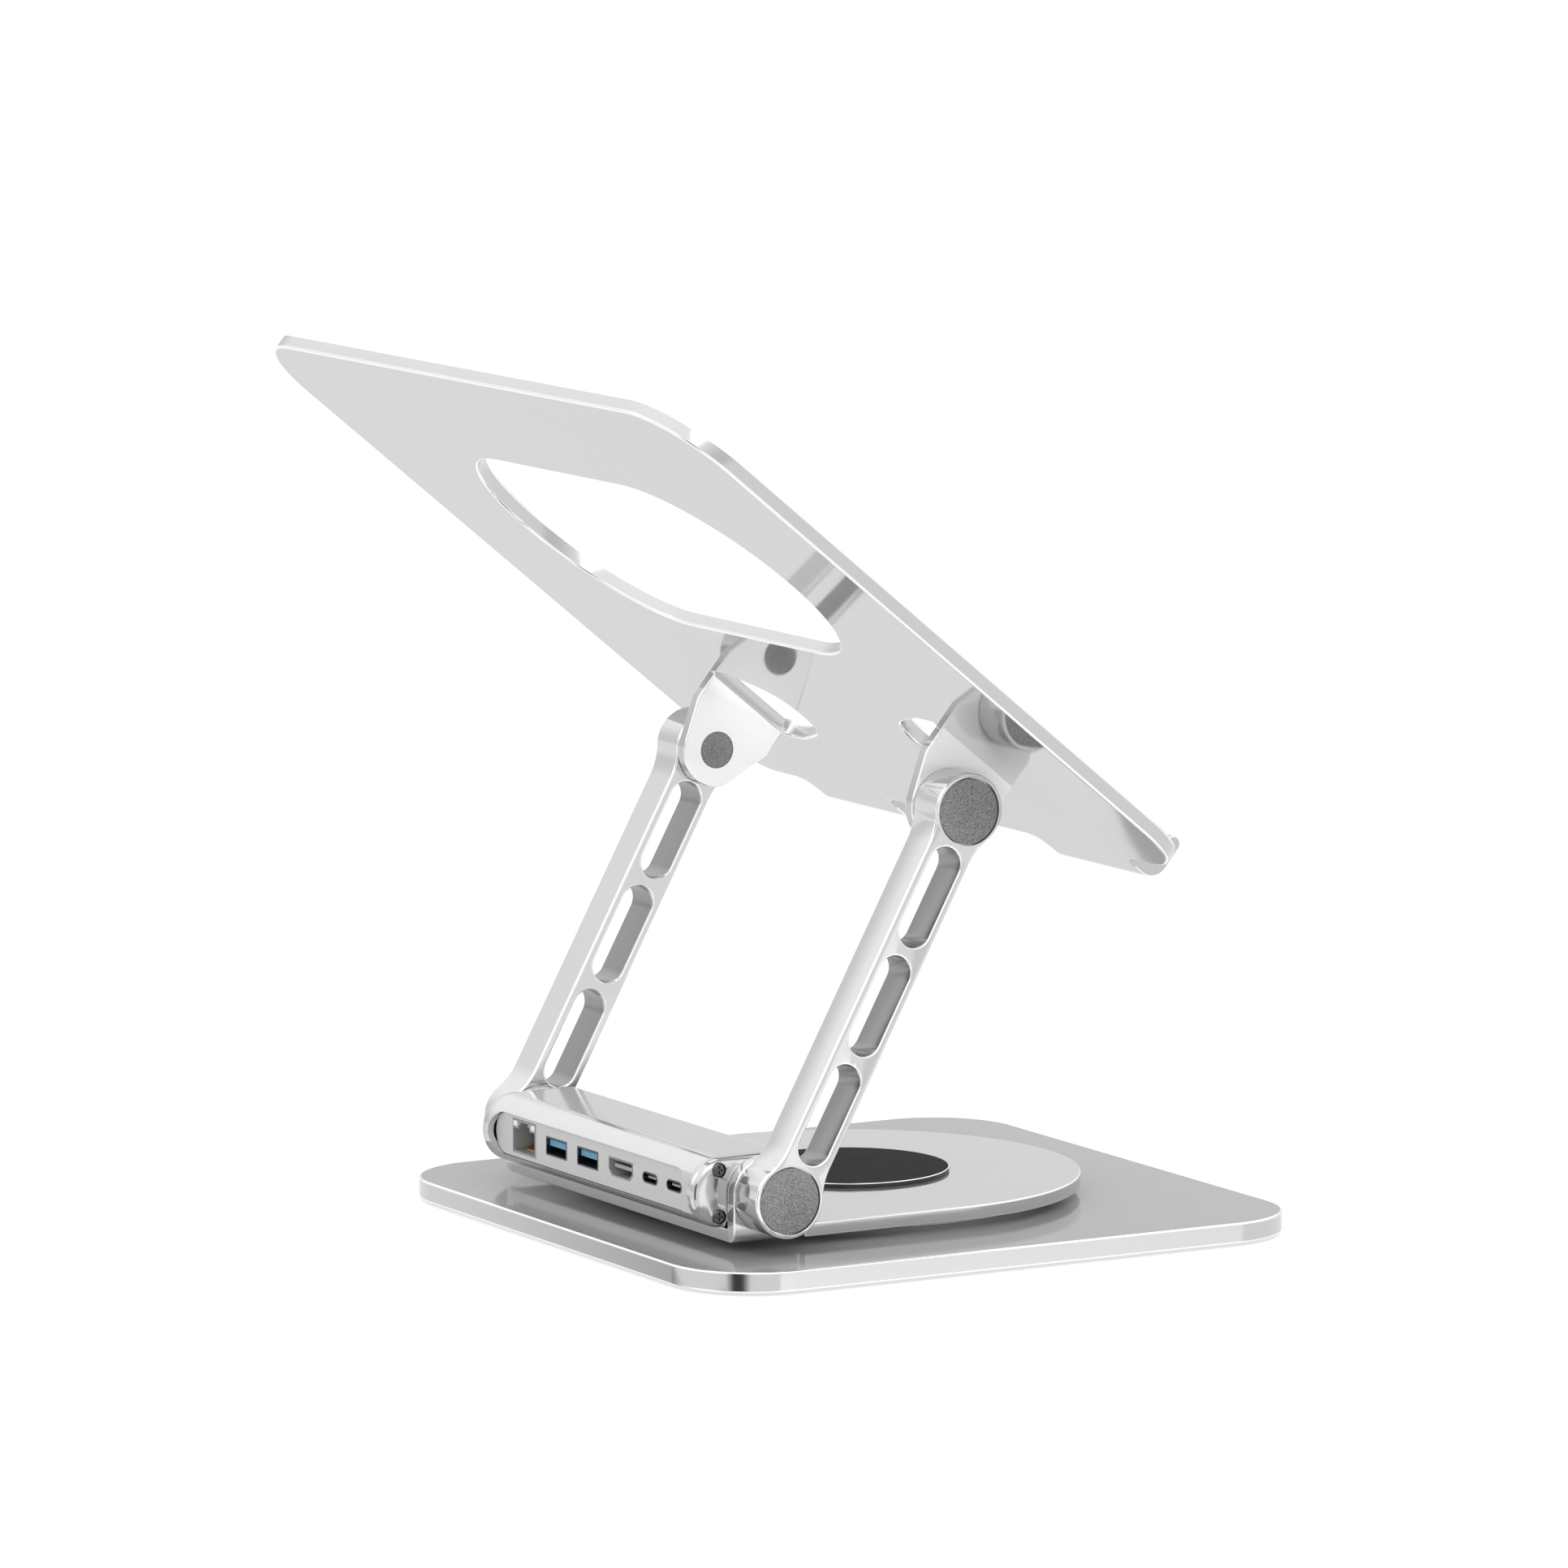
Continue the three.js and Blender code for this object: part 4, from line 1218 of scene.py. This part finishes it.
@dataclass
class Arms(Part):
    """The two slotted arms with their caps and washers."""

    boss: float = 11.5
    half_width: float = 8.0
    flare: float = 20.0
    bite: float = 0.06
    slot_half: float = 5.5
    slot_length: float = 32.2
    slot_pitch: float = 36.0
    slot_start: float = 12.2
    slots: int = 3
    edge: float = 0.6
    cap_radius: float = 10.0
    cap_low: float = 84.9 + 0.1
    cap_thick: float = 1.2
    cap_room: float = 0.35
    nut_seat: float = 79.5
    nut_bore: float = 8.7

    def slot(self, start: float) -> Solid:
        """Return the cutter of the slot that starts that far up the arm."""
        radius = self.slot_half
        end = start + self.slot_length
        return Bench.hull(
            "slot",
            Bench.rod(radius, ARM_INNER - PAST, ARM_OUTER + PAST, (0, start + radius), sides=48),
            Bench.rod(radius, ARM_INNER - PAST, ARM_OUTER + PAST, (0, end - radius), sides=48),
        )

    def arm(self) -> Solid:
        """Return the right arm in its place."""
        length = HINGES.arm_length
        spread = self.half_width + self.flare
        reach = math.sqrt((self.boss + self.flare - self.bite) ** 2 - spread**2)
        angle = math.atan2(spread, reach)
        along, across = self.boss * math.cos(angle), self.boss * math.sin(angle)
        arm = Bench.block(
            (ARM_INNER, -across, along), (ARM_OUTER, across, length - along), "arm_right_limb"
        )
        for foot in (0.0, length):
            Bench.add(arm, Bench.rod(self.boss, ARM_INNER, ARM_OUTER, (0, foot), sides=112))
        for side in (-1, 1):
            flares = (
                Bench.rod(
                    self.flare, ARM_INNER - PAST, ARM_OUTER + PAST, (side * spread, z), sides=144
                )
                for z in (reach, length - reach)
            )
            Bench.cut(arm, Bench.hull("flare", *flares))
        for i in range(self.slots):
            Bench.cut(arm, self.slot(self.slot_start + i * self.slot_pitch))
        Bench.clean(arm, 0.01)
        self.dress(arm, self.finishes.aluminium, self.finishes.edge, self.finishes.slot_wall)
        # Slot 2 darkens the walls inside the slots with painted shade.
        Bench.paint(
            arm, 2,
            lambda centre, normal: abs(normal.x) < 0.5 and abs(centre.y) < self.slot_half + 0.2
            and self.slot_start < centre.z < length - self.slot_start,
        )
        Bench.soften(arm, self.edge, 3, 50, rim=1, clamp=False)
        for foot in (0.0, length):
            at = (0, foot)
            room = self.cap_radius + self.cap_room
            Bench.cut(arm, Bench.rod(room, self.cap_low - 0.1, ARM_OUTER + PAST, at, sides=96))
            Bench.cut(arm, Bench.rod(self.nut_bore, self.nut_seat, ARM_OUTER, at, sides=48))
            Bench.cut(arm, Bench.rod(PIN_BORE, ARM_INNER - PAST, ARM_OUTER, at, sides=32))
        Bench.place(arm, 90 - HINGES.lean, HINGES.lower_y, HINGES.lower_z)
        return Bench.shade(arm)

    def cap(self, name: str, y: float, z: float) -> Solid:
        """Return a right-hand cap.

        Args:
            name: Its name.
            y: The hinge line's Y.
            z: The hinge line's Z.

        Returns:
            The cap.
        """
        end = self.cap_low + self.cap_thick
        cap = Bench.rod(self.cap_radius, self.cap_low, end, (y, z), sides=96, name=name)
        self.dress(cap, self.finishes.cap)
        Bench.soften(cap, 0.22, 3)
        return Bench.shade(cap)

    def build(self) -> None:
        """Make and dress both arms."""
        arm = self.arm()
        self.hand_over(Bench.mirror(arm, "arm_left_limb"), "anodised_aluminium", "arm_left")
        self.hand_over(arm, "anodised_aluminium", "arm_right")
        levels = {
            "lower": (HINGES.lower_y, HINGES.lower_z),
            "upper": (HINGES.upper_y, HINGES.upper_z),
        }
        for level, (y, z) in levels.items():
            cap = self.cap(f"{level}_disc_right", y, z)
            twin = Bench.mirror(cap, f"{level}_disc_left")
            self.hand_over(twin, "dark_cap", f"{level}_cap_left")
            self.hand_over(cap, "dark_cap", f"{level}_cap_right")
            for side in SIDES:
                self.keep(self.finishes.nylon, f"{level}_friction_washer_{side}")


@dataclass
class Tray(Part):
    """The tray that holds the laptop, drawn flat about the upper hinge and then tilted."""

    under: float = 18.0
    thick: float = 5.0
    half_width: float = 134.3
    rear: float = 182.4
    front: float = -47.8
    rear_corner: float = 27.0
    front_corner: float = 21.0
    edge: float = 0.75
    window_half: float = 39.0
    window_radius: float = 43.0
    window_s: float = 91.0
    tongue_x: float = 71.2
    tongue_half: float = 25.0
    tongue_front: float = -56.0
    tongue_root: float = 5.0
    lip_tip: float = 33.7
    lip_inner: float = 1.0
    tab_radius: float = 11.7
    tab_half: float = 15.8
    tab_root: float = 9.0
    tab_bend: float = 5.5
    pin_head: float = 5.8
    pin_head_depth: float = 2.3
    hole_x: float = 48.0
    hole_radius: float = 13.2
    hole_half: float = 17.3
    hole_flare: float = 58.0

    @property
    def top(self) -> float:
        """Return the height of the tray's upper face over the hinge line."""
        return self.under + self.thick

    def skin(self, obj: Solid) -> None:
        """Give a tray solid its slots: skin with painted shade, cut edge, cut wall and tab with
        painted light.
        """
        finishes = self.finishes
        self.dress(obj, finishes.tray_painted_shade_skin, finishes.edge, finishes.wall, finishes.tab_painted_light_skin)

    def tongue(self, middle: float) -> Solid:
        """Return a tongue whose end is bent up into a lip.

        Args:
            middle: Its middle on X.

        Returns:
            The tongue.
        """
        low = (middle - self.tongue_half, self.tongue_front, self.under)
        high = (middle + self.tongue_half, self.front + 4, self.top)
        tongue = Bench.block(low, high, "tongue")
        Bench.only(tongue)
        bpy.ops.object.mode_set(mode="EDIT")
        bpy.ops.mesh.select_mode(type="FACE")
        bpy.ops.mesh.select_all(action="DESELECT")
        bpy.ops.object.mode_set(mode="OBJECT")
        for face in tongue.data.polygons:
            face.select = face.normal.y < -0.9
        bpy.ops.object.mode_set(mode="EDIT")
        turn_z = self.top + self.lip_inner
        bpy.ops.mesh.spin(
            steps=10,
            angle=math.pi / 2,
            center=(middle * MM, self.tongue_front * MM, turn_z * MM),
            axis=(1.0, 0.0, 0.0),
        )
        rise = self.lip_tip - turn_z
        bpy.ops.mesh.extrude_region_move(TRANSFORM_OT_translate={"value": (0.0, 0.0, rise * MM)})
        bpy.ops.object.mode_set(mode="OBJECT")
        Bench.clean(tongue)
        tip = self.lip_tip - 0.01
        Bench.round_edges(
            tongue,
            lambda a, b: min(a.z, b.z) > tip and abs(a.x - b.x) > 10,
            self.thick / 2 - 0.05,
            8,
        )
        self.skin(tongue)
        return Bench.soften(tongue, 0.4, 2, 50, rim=1, clamp=False)

    def window(self) -> Solid:
        """Return the cutter of the large window."""
        low, high = self.under - PAST, self.top + PAST
        return Bench.hull(
            "window",
            *(
                Bench.rod(self.window_radius, low, high, (x, self.window_s), Axis.Z, 160)
                for x in (-self.window_half, self.window_half)
            ),
        )

    def tab_hole(self, side: int) -> Solid:
        """Return the cutter of the opening that a folded tab leaves."""
        low, high = self.under - PAST, self.top + PAST
        near, far = sorted((side * self.hole_flare, side * EAR_INNER))
        root = Bench.block((near, -self.hole_half, low), (far, self.hole_half, high))
        edge = sorted((side * self.hole_flare, side * (self.hole_flare + 0.5)))
        neck = Bench.hull(
            "neck",
            Bench.block((edge[0], -self.hole_half, low), (edge[1], self.hole_half, high)),
            Bench.rod(self.hole_radius, low, high, (side * self.hole_x, 0), Axis.Z, 96),
        )
        return Bench.add(root, neck)

    def sheet(self) -> Solid:
        """Return the flat of the tray with its tongues, lips and windows."""
        sheet = Bench.block(
            (-self.half_width, self.front, self.under),
            (self.half_width, self.rear, self.top),
            "tray",
        )
        upright = 1.0
        Bench.round_edges(
            sheet, lambda a, b: abs(a.z - b.z) > upright and a.y > 0, self.rear_corner, 24
        )
        Bench.round_edges(
            sheet,
            lambda a, b: abs(a.z - b.z) > upright and a.y < self.front + 1,
            self.front_corner,
            12,
        )
        Bench.cut(sheet, self.window(), self.tab_hole(-1), self.tab_hole(1))
        Bench.clean(sheet)
        self.skin(sheet)
        Bench.paint(sheet, 2, lambda centre, normal: abs(normal.z) < 0.3)
        Bench.soften(sheet, self.edge, 3, 50, rim=1)
        for middle in (-self.tongue_x, self.tongue_x):
            Bench.add(sheet, self.tongue(middle))
            for way in (-1, 1):
                Bench.add(sheet, self.fillet(middle, way))
        return sheet

    def fillet(self, middle: float, way: int) -> Solid:
        """Return the round in the corner between a tongue and the tray.

        Args:
            middle: The tongue's middle on X.
            way: Which of its sides, -1 or 1.

        Returns:
            The solid of the round.
        """
        flank = middle + way * self.tongue_half
        at = (flank + way * self.tongue_root, self.front - self.tongue_root)
        near, far = sorted((flank - way * 2, at[0]))
        inset = 0.02
        low, high = self.under + inset, self.top - inset
        fillet = Bench.block((near, at[1], low), (far, self.front + 2, high))
        round_cutter = Bench.rod(self.tongue_root, low - PAST, high + PAST, at, Axis.Z, 48)
        return Bench.cut(fillet, round_cutter)

    def tab(self) -> Solid:
        """Return the right tab that holds the hinge."""
        half = self.tab_half
        neck = Bench.hull(
            "tab",
            Bench.rod(self.tab_radius, EAR_INNER, EAR_OUTER, (0, 0), sides=96),
            Bench.block((EAR_INNER, -half, self.tab_root), (EAR_OUTER, half, self.top)),
        )
        self.skin(neck)
        # Slot 3 puts the painted light on the tab's flat sides.
        Bench.paint(neck, 3, lambda centre, normal: abs(normal.x) > 0.9)
        Bench.soften(neck, 0.45, 3, 50, rim=1)
        Bench.cut(neck, Bench.rod(PIN_BORE, EAR_INNER - PAST, EAR_OUTER + PAST, (0, 0), sides=48))
        deep = EAR_INNER + self.pin_head_depth
        return Bench.cut(neck, Bench.rod(self.pin_head, EAR_INNER - PAST, deep, (0, 0), sides=64))

    def fold_cutter(self) -> Solid:
        """Return the cutter that rounds the outside of the right tab's fold."""
        bend = self.tab_bend
        reach = self.tab_half + 0.3
        cutter = Bench.block(
            (EAR_INNER - 0.5, -reach, self.top - bend), (EAR_INNER + bend, reach, self.top + 0.5)
        )
        at = (EAR_INNER + bend, self.top - bend)
        return Bench.cut(cutter, Bench.rod(bend, -reach - PAST, reach + PAST, at, Axis.Y, 96))

    def build(self) -> None:
        """Make and dress the tray."""
        tray = self.sheet()
        tab = self.tab()
        twin = Bench.mirror(tab, "tab_twin")
        Bench.add(tray, tab, twin)
        cutter = self.fold_cutter()
        twin_cutter = Bench.mirror(cutter, "fold_twin")
        Bench.cut(tray, cutter, twin_cutter)
        Bench.place(tray, HINGES.tray_tilt, HINGES.upper_y, HINGES.upper_z)
        self.hand_over(Bench.shade(tray, 30), "anodised_aluminium", "tray_plate")
        for side in SIDES:
            self.keep(self.finishes.steel, f"upper_hinge_pin_{side}", f"upper_hinge_nut_{side}")
            self.keep(self.finishes.cap, f"tab_cap_{side}")
            self.keep(self.finishes.silicone, f"tray_pad_{side}", f"lip_pad_{side}")


@dataclass
class Studio:
    """A pale floor, soft light and the camera."""

    azimuth: float = 240.256
    elevation: float = 8.109
    lens: float = 237.4
    eye: tuple[float, float, float] = (-2720.89, 1572.32, 583.05)
    shift: tuple[float, float] = (-0.00848, -0.00221)
    floor_size: float = 60.0
    sky_stops: tuple[tuple[float, float], ...] = (
        (0.0, 1.0),
        (0.49, 1.0),
        (0.53, 0.78),
        (0.6, 0.82),
        (0.72, 1.2),
        (1.0, 1.35),
    )

    def floor(self) -> None:
        """Lay a pale floor."""
        bpy.ops.object.select_all(action="DESELECT")
        bpy.ops.mesh.primitive_plane_add(size=self.floor_size, location=(0, 0, -0.0002))
        floor = bpy.context.object
        floor.name = "floor"
        floor.visible_glossy = False
        sheet = Sheet("pale_floor")
        cloud = sheet.noise(400.0, 1.0)
        floor.data.materials.append(sheet.close({
            "Base Color": sheet.blend(cloud, (0.44, 0.44, 0.44), (0.46, 0.46, 0.46)),
            "Roughness": 0.9,
            "Specular IOR Level": 0.0,
            "Emission Color": (1.0, 1.0, 1.0, 1.0),
            "Emission Strength": 0.6,
        }))

    def area(
        self, name: str, place: Sequence[float], size: float, power: float, mirrored: bool = True
    ) -> None:
        """Hang a soft light that looks at the stand.

        Args:
            name: Its name.
            place: Its place in metres.
            size: Its side in metres.
            power: Its power in watts.
            mirrored: Whether it shows in reflections.
        """
        data = bpy.data.lights.new(name, "AREA")
        data.shape = "SQUARE"
        data.size = size
        data.energy = power
        lamp = bpy.data.objects.new(name, data)
        bpy.context.scene.collection.objects.link(lamp)
        lamp.location = place
        lamp.visible_glossy = mirrored
        aim = Vector((0.0, 0.02, 0.12)) - lamp.location
        lamp.rotation_mode = "QUATERNION"
        lamp.rotation_quaternion = aim.to_track_quat("-Z", "Y")

    def card(
        self,
        name: str,
        place: Sequence[float],
        size: Sequence[float],
        turn: float,
        stops: Sequence[tuple[float, float]],
    ) -> None:
        """Stand up a card that shows only in reflections.

        Args:
            name: Its name.
            place: Its centre in metres.
            size: Its width and height in metres.
            turn: Its turn about Z in degrees, from facing along Y.
            stops: Places across it, from 0 to 1, and how bright it is there.
        """
        bpy.ops.object.select_all(action="DESELECT")
        bpy.ops.mesh.primitive_plane_add(
            size=1, location=place, rotation=(math.pi / 2, 0.0, math.radians(turn))
        )
        card = bpy.context.object
        card.name = name
        card.scale = (*size, 1.0)
        card.visible_camera = False
        card.visible_diffuse = False
        card.visible_shadow = False
        sheet = Sheet(f"{name}_cloth")
        across = sheet.node("ShaderNodeSeparateXYZ", {}, {0: sheet.place()}, output="X") + 0.5
        card.data.materials.append(sheet.close({
            "Base Color": (0.0, 0.0, 0.0, 1.0),
            "Roughness": 1.0,
            "Specular IOR Level": 0.0,
            "Emission Color": sheet.greys(across, stops),
            "Emission Strength": BRIGHTEST,
        }))

    def camera(self) -> None:
        """Put the camera at its viewing angle."""
        data = bpy.data.cameras.new("camera")
        data.lens = self.lens
        data.sensor_width = 36.0
        data.shift_x, data.shift_y = self.shift
        data.clip_start, data.clip_end = 0.05, 50.0
        camera = bpy.data.objects.new("camera", data)
        bpy.context.scene.collection.objects.link(camera)
        camera.location = Vector(self.eye) * MM
        a, e = math.radians(self.azimuth), math.radians(self.elevation)
        back = Vector((math.sin(a) * math.cos(e), -math.cos(a) * math.cos(e), math.sin(e)))
        camera.rotation_mode = "QUATERNION"
        camera.rotation_quaternion = (-back).to_track_quat("-Z", "Y")
        bpy.context.scene.camera = camera

    def sky(self) -> None:
        """Surround the stand with light that is softer towards the horizon."""
        sheet = Sheet("studio", world=True)
        way = sheet.node("ShaderNodeSeparateXYZ", {}, {0: sheet.place()}, output="Z") * 0.5 + 0.5
        seen = sheet.node("ShaderNodeLightPath", output="Is Camera Ray")
        white = (1 / BRIGHTEST,) * 3
        shown = sheet.blend(seen, sheet.greys(way, self.sky_stops), white)
        light = sheet.node("ShaderNodeBackground", {}, {"Color": shown, "Strength": BRIGHTEST})
        sheet.node("ShaderNodeOutputWorld", {}, {"Surface": light})
        bpy.context.scene.world = sheet.owner

    def build(self) -> None:
        """Set the whole studio up."""
        bpy.context.scene.view_settings.view_transform = "Standard"
        self.sky()
        self.floor()
        self.area("key", (-1.6, 0.2, 1.7), 1.4, 5.0)
        self.area("rear", (0.9, 1.8, 1.2), 1.2, 3.0)
        self.area("fill", (-2.0, 1.2, 0.25), 0.8, 18.0, mirrored=False)
        self.card("dark_card", (-2.66, 2.85, -0.1), (2.1, 2.4), 43.0, (
            (0.0, 1.0), (0.18, 0.4), (0.33, 0.06), (0.68, 0.06), (0.85, 0.5), (1.0, 1.0),
        ))
        self.card("rear_card", (0.125, 0.3, -0.247), (0.65, 0.4), 0.0, (
            (0.0, 0.5), (0.2, 1.4), (0.6, 0.4), (1.0, 1.0),
        ))
        self.card("side_card", (-0.45, -0.15, -0.247), (0.4, 0.4), 90.0, (
            (0.0, 1.2), (1.0, 1.4),
        ))
        self.camera()


def main() -> None:
    """Build the stand and its studio, in order."""
    logging.basicConfig(level=logging.INFO, format="%(name)s %(message)s")
    finishes = Finishes()
    Studio().build()
    for part in (
        Base(finishes, Body.BASE),
        Turntable(finishes, Body.TURNTABLE),
        Hub(finishes, Body.TURNTABLE),
        Arms(finishes, Body.ARMS),
        Tray(finishes, Body.TRAY),
    ):
        part.build()
        LOG.info("%s built", type(part).__name__)


if __name__ == "__main__":
    main()
